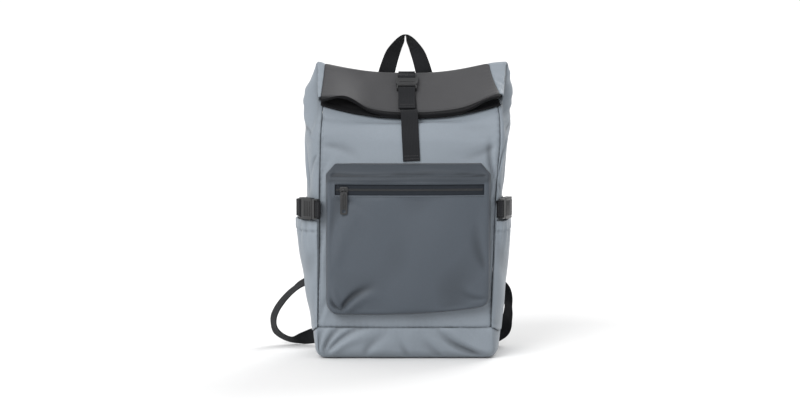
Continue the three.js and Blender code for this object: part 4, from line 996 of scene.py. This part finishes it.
def front_pocket():
    edge = [0, 0.5, 1, 2, 3.5, 5]
    left = [POCKET_LEFT + d for d in edge] + [ZIP_LEFT]
    right = [ZIP_RIGHT] + [POCKET_RIGHT - d for d in edge[::-1]]
    columns = steps(left + right, POCKET_STEP)
    up = [POCKET_BOTTOM + d for d in edge] + [ZIP_BOTTOM, ZIP_TOP, GUSSET, POCKET_TOP]
    rows = steps(up, POCKET_STEP)
    z, x = crossed(rows, columns)
    relief = pocket_relief(z, x)
    outer = pocket_point(x, z, -relief)
    inner = pocket_point(x, z, CLOTH - 0.6 * relief)
    middle_x = (columns[1:] + columns[:-1]) / 2
    middle_z = (rows[1:] + rows[:-1]) / 2
    in_slot = ((middle_z > ZIP_BOTTOM) & (middle_z < ZIP_TOP))[:, None]
    in_slot = in_slot & ((middle_x > ZIP_LEFT) & (middle_x < ZIP_RIGHT))[None]
    # Painted shade on the strip above the zip, up to the pocket's top, as deep as STRIP_SHADE
    shade_over_zip = STRIP_SHADE * ease((z - ZIP_TOP) / 5)
    shade = np.maximum(hollow_of(relief), shade_over_zip)
    mesh = thick_sheet("front_pocket_cloth", outer, inner, keep=~in_slot, shade=shade)
    add_object("front_pocket_cloth", mesh, POCKET, node="front_pocket")


SIDE_POCKET_TOP = 206
SIDE_POCKET_SWELL = {LEFT: 15, RIGHT: 11}
SIDE_POCKET_RISE = 158
SIDE_HEM = 16


def side_pocket_point(side, row, u, inset):
    z = mix(turn_up_side(u) + SEAM_GAP / 2, SIDE_POCKET_TOP, row)
    point = side_point(side, u, side_v(u, z), inset - CLOTH - REST_GAP)
    swell = SIDE_POCKET_SWELL[side] * np.sin(u * PI) * ease(row) ** 0.8
    point[..., 0] += side * (SEAM_GAP + swell)
    return point


def side_pocket_relief(side, row, u):
    to_seam = SIDE_ROUND * np.minimum(u, 1 - u)
    down = SIDE_POCKET_RISE * (1 - row)
    bumps = 1.3 * ripple(u * SIDE_WIDTH, row * SIDE_POCKET_RISE, 61 + side, 70)
    bumps += pucker(to_seam, down)
    bumps += -1.2 * bell((down - SIDE_HEM) / 1.3) + 0.5 * bell((down - SIDE_HEM + 5) / 4)
    bumps += 1.1 * np.sin(u * 58) * np.exp(-np.abs(down - SIDE_HEM) / 16)
    return bumps * ease(to_seam / 6) * ease(row * 20)


def side_pocket(name, side):
    cloth_panel(
        f"side_pocket_cloth_{name}", np.linspace(0, 1, 62), np.linspace(0.02, 0.98, 61),
        lambda row, u, inset: side_pocket_point(side, row, u, inset),
        lambda row, u: side_pocket_relief(side, row, u),
        GREY, f"side_pocket_{name}",
    )


front_panel()
roll_top()
bindings()
base()
front_pocket()
for NAME, SIDE in (("left", LEFT), ("right", RIGHT)):
    side_panel(NAME, SIDE)
    side_pocket(NAME, SIDE)


# Webbing: along the CAD ribbons, with smooth bends and rounded edges


def merged(node):
    """A CAD node's places in millimetres, each once, and the places next to each."""
    spots, ids = {}, []
    for vertex in node.data.vertices:
        key = tuple(round(c / MM, 2) for c in node.matrix_world @ vertex.co)
        ids.append(spots.setdefault(key, len(spots)))
    near = [set() for _ in spots]
    for edge in node.data.edges:
        a, b = (ids[k] for k in edge.vertices)
        if a != b:
            near[a].add(b)
            near[b].add(a)
    return np.array(list(spots)), near


def ring_order(points, ring, before):
    """The ring's corners, each matched to the corner before it."""

    def apart(order):
        return np.square(points[list(order)] - points[list(before)]).sum()

    return min(itertools.permutations(ring), key=apart)


def ribbon_path(node):
    """Middles and width directions along a CAD ribbon, read from one of its flat ends."""
    points, near = merged(node)
    first = None
    for a in range(len(points)):
        for b, c in itertools.combinations(sorted(near[a]), 2):
            if c not in near[b]:
                continue
            for d in (near[b] & near[c]) - {a}:
                ring = {a, b, c, d}
                if len(set().union(*(near[k] for k in ring)) - ring) == 4:
                    first = ring
    corners = sorted(first)
    pairs = itertools.combinations(corners, 2)
    short = min(pairs, key=lambda pair: np.linalg.norm(points[pair[0]] - points[pair[1]]))
    others = [k for k in corners if k not in short]
    others.sort(key=lambda k: np.linalg.norm(points[k] - points[short[0]]))
    rings = [(short[0], others[0], others[1], short[1])]
    seen = set(first)
    while len(seen) < len(points):
        ahead = set().union(*(near[k] for k in rings[-1])) - seen
        rings.append(ring_order(points, ahead, rings[-1]))
        seen |= ahead
    corners = points[np.array(rings)]
    middles = corners.mean(axis=1)
    widths = corners[:, 1] - corners[:, 0] + corners[:, 2] - corners[:, 3]
    return middles, unit(widths)


def smooth_path(middles, widths):
    """Evenly spaced places on a smooth curve through the middles, with their width directions."""
    chord = np.sqrt(np.linalg.norm(np.diff(middles, axis=0), axis=1))
    at = np.concatenate([[0], np.cumsum(chord)])
    both = np.concatenate([middles, widths], axis=1)
    rates = np.gradient(both, at, axis=0)
    fine = np.linspace(0, at[-1], 24 * len(at))
    low = np.clip(np.searchsorted(at, fine, side="right") - 1, 0, len(at) - 2)
    step = (at[low + 1] - at[low])[:, None]
    t = ((fine - at[low]) / step[:, 0])[:, None]
    curve = (
        (2 * t**3 - 3 * t**2 + 1) * both[low]
        + (t**3 - 2 * t**2 + t) * step * rates[low]
        + (3 * t**2 - 2 * t**3) * both[low + 1]
        + (t**3 - t**2) * step * rates[low + 1]
    )
    run = distances(curve[:, :3])
    even = np.linspace(0, run[-1], max(3, round(run[-1] / STRIP_STEP) + 1))
    sampled = between(even, run, curve)
    return sampled[:, :3], unit(sampled[:, 3:]), even


# Half of a strip's section: shares of half its width, and of half its thickness there
SECTION = [(-1, 0.3), (-0.985, 0.8), (-0.95, 1.1), (-0.88, 1.0), (-0.45, 0.96)]
SECTION = SECTION + [(0, 0.98)] + [(-a, b) for a, b in SECTION[::-1]]


STRIP_STEP = 1.9
WEB_WIDTH, WEB_THICK = 25, 1.6
KEEPER_WIDTH, KEEPER_THICK = 24, 1.2
RIBBONS = ("closure_strap", "side_strap", "grab_handle", "webbing", "keeper")


def strip(node, width, thick):
    """A strip of webbing with woven edges along a CAD ribbon."""
    path, across, run = smooth_path(*ribbon_path(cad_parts[node]))
    along = unit(np.gradient(path, axis=0))
    across = unit(across - (across * along).sum(axis=1)[:, None] * along)
    out = np.cross(across, along)
    ring = [(a, b) for a, b in SECTION] + [(a, -b) for a, b in SECTION[::-1]]
    a = np.array([a for a, _ in ring]) * width / 2
    b = np.array([b for _, b in ring]) * thick / 2
    wave = 0.12 * np.sin(run / 7.3)[:, None, None]
    sideways = a[None, :, None] * across[:, None]
    points = path[:, None] + sideways + (b[None, :, None] + wave) * out[:, None]
    uvs = np.stack(np.broadcast_arrays(a[None], run[:, None]), axis=-1).reshape(-1, 2) * MM
    faces = capped_faces(len(path), len(ring))
    mesh = mesh_from(f"{node}_woven", points.reshape(-1, 3), faces, uvs)
    face_out(mesh)
    add_object(f"{node}_woven", mesh, WEBBING, node=node)
    return path, across, out, run


STRIPS = {}
for node_name in list(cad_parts):
    if "keeper" in node_name:
        STRIPS[node_name] = strip(node_name, KEEPER_WIDTH, KEEPER_THICK)
    elif any(key in node_name for key in RIBBONS):
        STRIPS[node_name] = strip(node_name, WEB_WIDTH, WEB_THICK)


# Hard pieces: the CAD shapes with their edges rounded


def rounded(node_name, width, material=None, body="root", keep_name="moulded"):
    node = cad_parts[node_name]
    mesh = node.data.copy()
    mesh.materials.clear()
    with reshaped(mesh) as shape:
        bmesh.ops.remove_doubles(shape, verts=shape.verts, dist=1e-5)
        bmesh.ops.dissolve_limit(
            shape, angle_limit=math.radians(1), use_dissolve_boundaries=False,
            verts=shape.verts, edges=shape.edges,
        )
    obj = add_object(f"{node_name}_{keep_name}", mesh, material or PLASTIC, body)
    bevel = obj.modifiers.new("edges", "BEVEL")
    bevel.width = width * MM
    bevel.segments = 2
    bevel.limit_method = "ANGLE"
    bevel.angle_limit = math.radians(28)
    bevel.harden_normals = True
    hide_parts(node_name)


for node_name in list(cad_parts):
    if "buckle" in node_name:
        rounded(node_name, 0.55)
    elif "ladder_lock" in node_name:
        rounded(node_name, 0.8)
    elif "anchor_tab" in node_name:
        rounded(node_name, 0.9, GREY, keep_name="cloth")
rounded("zip_slider", 0.5)
rounded("zip_puller", 0.45, body="puller")


def puller_rim():
    """A thin raised rim round the slot of the zip puller."""
    low, high = (np.array(corner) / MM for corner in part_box("zip_puller"))
    middle = (low[0] + high[0]) / 2
    top, bottom, face = high[2] - 9, low[2] + 10.5, low[1] - 0.05
    half, radius = 1.7, 0.5
    turns = np.linspace(0, PI, 7)
    route = [(middle + half * math.cos(t), face, top + half * math.sin(t)) for t in turns]
    route += [(middle - half * math.cos(t), face, bottom - half * math.sin(t)) for t in turns]
    curve = bpy.data.curves.new("zip_puller_rim", "CURVE")
    curve.dimensions = "3D"
    curve.bevel_depth = radius * MM
    curve.bevel_resolution = 2
    spline = curve.splines.new("POLY")
    spline.points.add(len(route) - 1)
    for point, place in zip(spline.points, route):
        point.co = (*(np.array(place) * MM), 1)
    spline.use_cyclic_u = True
    holder = bpy.data.objects.new("zip_puller_rim", curve)
    mesh = bpy.data.meshes.new_from_object(holder)
    mesh.name = "zip_puller_rim"
    bpy.data.objects.remove(holder)
    bpy.data.curves.remove(curve)
    add_object("zip_puller_rim", mesh, PLASTIC, "puller")


puller_rim()
rounded("handle_patch", 0.7, BAND, keep_name="cloth")
for NAME in ("left", "right"):
    rounded(f"d_ring_{NAME}", 0.7, body=f"ring_{NAME}")


# Harness: padded straps, after the part's table

STRAP_TOP, STRAP_WIDTH, STRAP_THICK, STRAP_LIFT, STRAP_GAP = BACK_WALL + 23, 57, 11, 12, 0.8
STRAPS_MIDDLE, STRAPS_APART, PAD_SQUARE = -8.5, 1.2, 0.6
HARNESS = {
    "at": [0, 0.08, 0.2, 0.36, 0.5, 0.62, 0.7, 0.82, 0.92, 1],
    "up": [0.945, 0.89, 0.81, 0.66, 0.53, 0.42, 0.355, 0.255, 0.19, 0.14],
    "right": [0.108, 0.068, 0.023, 0, 0.003, 0.048, 0.103, 0.218, 0.298, 0.343],
    "left": [0.045, 0.045, 0.023, 0.001, 0, 0.028, 0.063, 0.133, 0.168, 0.183],
    "lift": [0, 0.12, 0.5, 0.9, 1, 0.9, 0.75, 0.4, 0.12, 0],
    "thick": [0.4, 0.85, 1, 1, 1, 1, 1, 0.95, 0.8, 0.45],
    "width": [0.98, 1, 1, 1, 1, 1, 1, 1, 0.85, 0.4],
}
SEAM_IN = 5.5
STRAP_LENGTH = 440
STRAP_CREASES = (0.63, 0.68, 0.74, 0.8)


def back_face(x, z):
    """How far back the bag's outer face is at places in back view."""
    low, high = np.zeros_like(x), np.full_like(x, 2)
    for _ in range(14):
        v = (low + high) / 2
        below = back_point(across_of(back_point, x, v), v, 0)[..., 2] < z
        low, high = np.where(below, v, low), np.where(below, high, v)
    return back_point(across_of(back_point, x, low), low, 0)[..., 1]


def on_pad(side, along, rise):
    key = "left" if side == LEFT else "right"
    out = (STRAP_WIDTH + STRAPS_APART) / 2 + HALF_FRONT * column(HARNESS, key, along)
    x = STRAPS_MIDDLE + side * out
    z = STRAP_TOP * column(HARNESS, "up", along)
    lift = STRAP_LIFT * column(HARNESS, "lift", along)
    thick = STRAP_THICK * column(HARNESS, "thick", along)
    return np.stack([x, back_face(x, z) + STRAP_GAP + lift + thick + rise, z], axis=-1)


def pad_frames(side, along):
    up = on_pad(side, np.maximum(along - 0.03, 0), 0) - on_pad(side, np.minimum(along + 0.03, 1), 0)
    up = unit(up)
    out = unit(np.array([0, 1, 0]) - up * up[..., 1:2])
    return np.cross(up, out), out


def pad_surface(side, along, turn, relief=0.0):
    """A place on a padded strap, with turn round its section from its right edge."""
    thick = STRAP_THICK * column(HARNESS, "thick", along)
    width = STRAP_WIDTH * column(HARNESS, "width", along)
    middle = on_pad(side, along, -thick / 2)
    across, out = pad_frames(side, along)
    x = power_of(np.cos(turn), PAD_SQUARE) * width / 2
    z = power_of(np.sin(turn), PAD_SQUARE) * (thick / 2 + relief)
    return middle + x[..., None] * across + z[..., None] * out


FILL_VOXEL = 0.004
FILL_FRAMES = 20
FILL_PRESSURE = 4


def filled(points, faces, most):
    """Where a padded cover goes when its filling presses it out, as places and their moves.

    A coarse copy is simulated as cloth under pressure. Its moves are kept in proportion, with
    few of them longer than most, in millimetres.
    """
    scene = bpy.context.scene
    rough = bpy.data.objects.new("filling", mesh_from("filling", points, faces))
    scene.collection.objects.link(rough)
    even = rough.modifiers.new("even", "REMESH")
    even.mode = "VOXEL"
    even.voxel_size = FILL_VOXEL
    start_mesh = bpy.data.meshes.new_from_object(evaluated(rough))
    rough.modifiers.clear()
    rough.data = start_mesh
    start = vertex_places(start_mesh)
    cloth = rough.modifiers.new("cloth", "CLOTH")
    cloth.settings.use_pressure = True
    cloth.settings.uniform_pressure_force = FILL_PRESSURE
    cloth.settings.effector_weights.gravity = 0
    for at in range(1, FILL_FRAMES + 1):
        scene.frame_set(at)
    moves = vertex_places(evaluated(rough).data) - start
    bpy.data.objects.remove(rough)
    bpy.data.meshes.remove(start_mesh)
    scene.frame_set(1)
    length = np.linalg.norm(moves, axis=1)
    moves *= most / max(np.percentile(length, 90), 1e-9)
    length = np.linalg.norm(moves, axis=1)
    moves *= np.minimum(1, most / np.maximum(length, 1e-9))[:, None]
    return start, moves


def evaluated(obj):
    return obj.evaluated_get(bpy.context.evaluated_depsgraph_get())


def vertex_places(mesh):
    places = np.zeros(3 * len(mesh.vertices))
    mesh.vertices.foreach_get("co", places)
    return places.reshape(-1, 3) / MM


def followed(points, filling, near=6):
    """Points carried along by the moves of a filled cover beside them."""
    if filling is None:
        return points
    start, moves = filling
    tree = KDTree(len(start))
    for k, place in enumerate(start):
        tree.insert(place, k)
    tree.balance()
    flat = np.asarray(points, float).reshape(-1, 3)
    carried = np.zeros_like(flat)
    for k, place in enumerate(flat):
        found = tree.find_n(place, near)
        weights = np.array([1 / (distance + 1) ** 2 for _, _, distance in found])
        beside = moves[[n for _, n, _ in found]]
        carried[k] = (weights[:, None] * beside).sum(axis=0) / weights.sum()
    return (flat + carried).reshape(np.shape(points))


def pad_relief(side, along, turn):
    width = STRAP_WIDTH * column(HARNESS, "width", along)
    x = power_of(np.cos(turn), PAD_SQUARE) * width / 2
    run = along * STRAP_LENGTH
    to_seam = np.abs(x) - (width / 2 - SEAM_IN)
    relief = -1.5 * bell(to_seam / 1.3) + 0.35 * ripple(x, run, 71 + side, 45)
    relief += 0.35 * np.sin(run / 2.2) * np.exp(-np.abs(to_seam) / 3)
    relief += 0.8 * (1 - (2 * x / width) ** 2) * (to_seam < 0)
    for place in STRAP_CREASES:
        relief += -0.9 * bell((run - STRAP_LENGTH * place - 0.15 * x) / 3.5)
    return relief


STRAP_FILLING = {}
STRAP_SWELL = 1.4
PAD_SETTLE = 0.8


def pad_grid(rows, count):
    turns = np.linspace(0, 2 * PI, count + 1)[:-1]
    along, turn = crossed(np.linspace(0, 1, rows), turns)
    return along, turn, capped_faces(rows, count)


def strap_surface(side, along, turn, rise=0.0):
    """A place on a filled strap's cloth, with its seams and creases."""
    filling = STRAP_FILLING[side]
    relief = pad_relief(side, along, turn) - PAD_SETTLE * (filling is not None)
    return followed(pad_surface(side, along, turn, relief + rise), filling)


def shoulder_strap(name, side):
    along, turn, faces = pad_grid(90, 36)
    cover = pad_surface(side, along, turn, -0.5).reshape(-1, 3)
    STRAP_FILLING[side] = filled(cover, faces, STRAP_SWELL)
    along, turn, faces = pad_grid(176, 72)
    points = strap_surface(side, along, turn).reshape(-1, 3)
    uvs = np.stack([STRAP_WIDTH * np.cos(turn), along * STRAP_LENGTH], axis=-1)
    mesh = mesh_from(f"shoulder_strap_{name}_pad", points, faces, uvs.reshape(-1, 2) * MM)
    face_out(mesh)
    node = f"shoulder_strap_{name}"
    obj = add_object(f"shoulder_strap_{name}_pad", mesh, STRAP, node=node)


BACK_SWELL = 1.5
BACK_PROUD = 0.6


def closed_slab(outer, inner):
    """Points and faces of the closed block between two grids of places."""
    rows, columns, _ = outer.shape
    size = rows * columns
    grid = np.arange(size).reshape(rows, columns)
    faces = grid_faces(rows, columns) + grid_faces(rows, columns, start=size, flip=True)
    rim = np.concatenate([grid[0, :-1], grid[:-1, -1], grid[-1, :0:-1], grid[:0:-1, 0]])
    for first, second in zip(rim, np.roll(rim, -1)):
        faces.append([int(first), int(second), int(second) + size, int(first) + size])
    return np.concatenate([outer.reshape(-1, 3), inner.reshape(-1, 3)]), faces


def back_pad():
    """Foam under spacer net, drawn in at a seam down its middle and round its edge."""
    inward = np.linspace(-0.985, 0.985, 105)
    places = np.concatenate([[-1 + EDGE], inward, [1 - EDGE]])
    upward = np.linspace(0.02, 1 - 0.0004, 140)
    share = np.concatenate([np.linspace(0, 0.02, 3)[:-1], upward])
    row, across = crossed(share, places)
    rim = back_v(turn_up_back(across) + SEAM_GAP / 2)
    v = mix(rim, 1, row)
    x, z = across * HALF_FRONT, v * BACK_WALL
    to_edge = np.minimum(from_side(across), np.minimum(z - TURN_UP_BACK, BACK_WALL - z))
    relief = -1.6 * bell(x / 2.2) + 0.5 * ripple(x, z, 81, 110) - 1.2 * np.exp(-to_edge / 5)
    relief = relief * ease(to_edge / 2)
    face = back_point(across, v, 0)
    outer = np.stack([face[..., 0], face[..., 1], z], axis=-1)
    inner = np.stack([face[..., 0], face[..., 1] - BACK_PAD, z], axis=-1)
    coarse = np.s_[::4, ::3]
    filling = filled(*closed_slab(outer[coarse], inner[coarse]), BACK_SWELL)
    outer = followed(outer, filling)
    outer[..., 1] += relief - 0.6 * BACK_SWELL * (filling is not None)
    outer[..., 1] = np.minimum(outer[..., 1], face[..., 1] + BACK_PROUD)
    mesh = thick_sheet("back_panel_net", outer, inner)
    obj = add_object("back_panel_net", mesh, NET, node="back_panel")


for NAME, SIDE in (("left", LEFT), ("right", RIGHT)):
    shoulder_strap(NAME, SIDE)
back_pad()


# Zip: tape with two rows of teeth along its middle

ZIP_MIDDLE = (ZIP_BOTTOM + ZIP_TOP) / 2
TAPE_DEPTH = CLOTH + REST_GAP
TEETH_PITCH = 1.7
TEETH_APART = 1.5
TEETH_PROUD = 0.45
TOOTH = (0.95, 0.8, 1.9)


def zip_tape():
    rows = np.linspace(ZIP_BOTTOM - 2, ZIP_TOP + 2, 21)
    columns = np.linspace(ZIP_LEFT - 2, ZIP_RIGHT + 2, 111)
    z, x = crossed(rows, columns)
    ridge = 0.25 * bell((z - ZIP_MIDDLE) / 1.6)
    outer = pocket_point(x, z, TAPE_DEPTH - ridge)
    inner = pocket_point(x, z, TAPE_DEPTH + 1.2 + 0 * z)
    mesh = thick_sheet("pocket_zip_tape", outer, inner)
    add_object("pocket_zip_tape", mesh, TAPE, node="pocket_zip")


def zip_teeth():
    middles = []
    x = np.arange(ZIP_LEFT + 2, ZIP_RIGHT - 2, TEETH_PITCH)
    for row, shift in ((-1, 0), (1, TEETH_PITCH / 2)):
        z = ZIP_MIDDLE + row * TEETH_APART / 2 + 0 * x
        middles.append(pocket_point(x + shift, z, TAPE_DEPTH - TEETH_PROUD + 0 * x))
    middles = np.concatenate(middles)
    corners = np.array(list(itertools.product((-0.5, 0.5), repeat=3)))
    sides = [(0, 1, 3, 2), (4, 6, 7, 5), (0, 4, 5, 1), (2, 3, 7, 6), (0, 2, 6, 4), (1, 5, 7, 3)]
    points = (middles[:, None] + corners * TOOTH).reshape(-1, 3)
    faces = [[8 * k + n for n in side] for k in range(len(middles)) for side in sides]
    mesh = mesh_from("zip_teeth", points, faces, points[:, [0, 2]] * MM)
    add_object("zip_teeth", mesh, PLASTIC)
    mesh.shade_flat()


zip_tape()
zip_teeth()


# Stitches: short raised threads along each sewn line


def stitch_line(place_at, pitch=3.4, length=2.5, radius=0.28, count=1200):
    """Places, outward directions and thickness of stitches along place_at(share, rise)."""
    share = np.linspace(0, 1, count)
    low, high = place_at(share, 0.0), place_at(share, 1.0)
    run = distances(low)
    middle = np.arange(pitch / 2, run[-1] - pitch / 2, pitch)
    places = [between(middle + shift, run, low) for shift in (-length / 2, 0, length / 2)]
    return places, between(middle, run, high - low), radius


def stitches(name, lines, material):
    """Each stitch is a small four-sided spindle, sunk a little at its tips."""
    points, faces = [], []
    for (start, middle, end), out, radius in lines:
        out = unit(out)
        side = unit(np.cross(end - start, out))
        rings = []
        for near, far, t in ((start, middle, 0.45), (middle, end, 0.55)):
            centre = mix(near, far, t) + 0.6 * radius * out
            corners = ((1, 0), (0, 1), (-1, 0), (0, -1))
            rings.append([centre + radius * (a * side + b * out) for a, b in corners])
        tips = [start - 0.5 * radius * out, end - 0.5 * radius * out]
        block = np.stack([tips[0], *rings[0], *rings[1], tips[1]], axis=1)
        base = sum(len(p) for p in points)
        points.append(block.reshape(-1, 3))
        for k in range(len(block)):
            n = base + 10 * k
            for j in range(4):
                i = (j + 1) % 4
                faces.append([n, n + 1 + i, n + 1 + j])
                faces.append([n + 1 + j, n + 1 + i, n + 5 + i, n + 5 + j])
                faces.append([n + 9, n + 5 + j, n + 5 + i])
    points = np.concatenate(points)
    mesh = mesh_from(name, points, faces, points[:, [0, 2]] * MM)
    add_object(name, mesh, material)


def on_panel(surface, relief, across_ends, v_ends):
    """A sewn line on a panel, straight between two places across it and along it."""

    def place_at(share, rise):
        across, v = mix(*across_ends, share), mix(*v_ends, share)
        return surface(across, v, -relief(v, across) - rise)

    return place_at


def on_pocket(route):
    """A sewn line on the front pocket through a route of x and z places."""
    route = np.array(route, float)
    run = distances(route)

    def place_at(share, rise):
        x = np.interp(share * run[-1], run, route[:, 0])
        z = np.interp(share * run[-1], run, route[:, 1])
        return pocket_point(x, z, -pocket_relief(z, x) - rise)

    return place_at


BESIDE = 3.2
FRONT_EDGE = 1 - BESIDE / HALF_FRONT
FRONT_ROW = (TURN_UP_FRONT + 3) / FRONT_WALL
front_lines = [
    on_panel(front_point, front_relief, (LEFT * FRONT_EDGE,) * 2, (FRONT_ROW, 1.95)),
    on_panel(front_point, front_relief, (RIGHT * FRONT_EDGE,) * 2, (FRONT_ROW, 1.95)),
    on_panel(front_point, front_relief, (-0.98, 0.98), (FRONT_ROW, FRONT_ROW)),
]
stitches("front_stitches", map(stitch_line, front_lines), THREAD_LIGHT)

ZIP_SEAM = 2.2
CREASE_ROW = GUSSET - 3.5
pocket_lines = [
    on_pocket([(left, z), (right, z)])
    for left, right, z in (
        (ZIP_LEFT - 2, ZIP_RIGHT + 2, ZIP_BOTTOM - ZIP_SEAM),
        (ZIP_LEFT - 2, ZIP_RIGHT + 2, ZIP_TOP + ZIP_SEAM),
        (POCKET_LEFT + 9, POCKET_RIGHT - 9, CREASE_ROW),
    )
]
stitches("pocket_stitches", map(stitch_line, pocket_lines), THREAD_DARK)

top_lines = [
    on_panel(back_point, top_relief, (-reach, reach), (row, row))
    for reach, row in ((0.985, MOUTH - BESIDE / FLAP), (0.97, TOP_START + 0.05))
]
stitches("top_stitches", map(stitch_line, top_lines), THREAD_DARK)


def on_strap(side, edge):
    """The seam near one edge of a padded strap's outer face."""

    def place_at(share, rise):
        along = mix(0.03, 0.93, share)
        width = STRAP_WIDTH * column(HARNESS, "width", along)
        reach = (1 - 2 * SEAM_IN / width) ** (1 / PAD_SQUARE)
        return strap_surface(side, along, np.arccos(edge * reach), rise)

    return place_at


strap_lines = [on_strap(side, edge) for side in (LEFT, RIGHT) for edge in (LEFT, RIGHT)]
stitches("strap_stitches", map(stitch_line, strap_lines), THREAD_LIGHT)


SEWN_REACH = 10.5
STRIP_FACE = 0.82


def across_strip(node, at, face):
    """A line across one face of a strip, at a distance along it or, below 0, from its end."""
    path, across, out, run = STRIPS[node]

    def place_at(share, rise):
        where = np.full_like(share, run[-1] + at if at < 0 else at)
        middle, side, up = (between(where, run, values) for values in (path, across, out))
        reach = mix(-SEWN_REACH, SEWN_REACH, share)[:, None]
        return middle + side * reach + face * up * (STRIP_FACE + rise)

    return place_at


# Two rows of stitches across each sewn end of a strip, on both of its faces
SEWN_ROWS = (3.5, 8, -3.5, -8)
web_lines = [
    stitch_line(across_strip(node_name, at, face), 2.6, 2.0, 0.25)
    for node_name in STRIPS
    if "keeper" not in node_name
    for at in SEWN_ROWS
    for face in (-1, 1)
]
stitches("webbing_stitches", web_lines, THREAD_WEB)


def on_hem(side):
    """A line along a side pocket's hem."""

    def place_at(share, rise):
        u = mix(0.05, 0.95, share)
        row = (1 - (SIDE_HEM - 2) / SIDE_POCKET_RISE) * np.ones_like(u)
        return side_pocket_point(side, row, u, -side_pocket_relief(side, row, u) - rise)

    return place_at


hem_lines = [stitch_line(on_hem(side)) for side in (LEFT, RIGHT)]
stitches("side_pocket_stitches", hem_lines, THREAD_LIGHT)


# Floor, lights and camera

floor_look = Look("floor", (0.66, 0.66, 0.66), 0.8, specular=0.1)
floor_look.tint(floor_look.ramp(floor_look.noise(3, 3), 0.4, 0.6, 0, 0.3), (0.65, 0.65, 0.655))
floor_look.bump(floor_look.noise(300, 2), 0.05, 0.0002)
bpy.ops.mesh.primitive_circle_add(vertices=96, radius=40, fill_type="NGON")
floor = bpy.context.object
floor.name = "floor"
floor.data.materials.append(floor_look.material)

world = bpy.data.worlds.new("studio")
bpy.context.scene.world = world
world.use_nodes = True
world.node_tree.nodes["Background"].inputs["Color"].default_value = (1, 1, 1, 1)
world.node_tree.nodes["Background"].inputs["Strength"].default_value = 1.02


def sun(name, place, strength, softness):
    """Light from the direction of place, from a patch of sky as wide as softness, in degrees."""
    light = bpy.data.lights.new(name, "SUN")
    light.energy = strength
    light.angle = math.radians(softness)
    obj = bpy.data.objects.new(name, light)
    obj.rotation_euler = (-Vector(place)).to_track_quat("-Z", "Y").to_euler()
    bpy.context.scene.collection.objects.link(obj)


sun("key", (-1.4, -2.0, 1.7), 2.6, 35)
sun("back", (1.2, 2.0, 1.6), 1.7, 35)

# The photo is 800 pixels wide and shows 1.5 mm of the bag to a pixel, seen square on
FIELD = 1.2
DISTANCE = 3.0
SENSOR = 36
AIM = Vector((-0.012, 0, 0.219))
ELEVATION = math.radians(5)
camera_data = bpy.data.cameras.new("camera")
camera_data.sensor_width = SENSOR
camera_data.lens = SENSOR * DISTANCE / FIELD
camera = bpy.data.objects.new("camera", camera_data)
camera.location = AIM + DISTANCE * Vector((0, -math.cos(ELEVATION), math.sin(ELEVATION)))
camera.rotation_euler = (AIM - camera.location).to_track_quat("-Z", "Y").to_euler()
bpy.context.scene.collection.objects.link(camera)
bpy.context.scene.camera = camera
bpy.context.scene.view_settings.view_transform = "Standard"
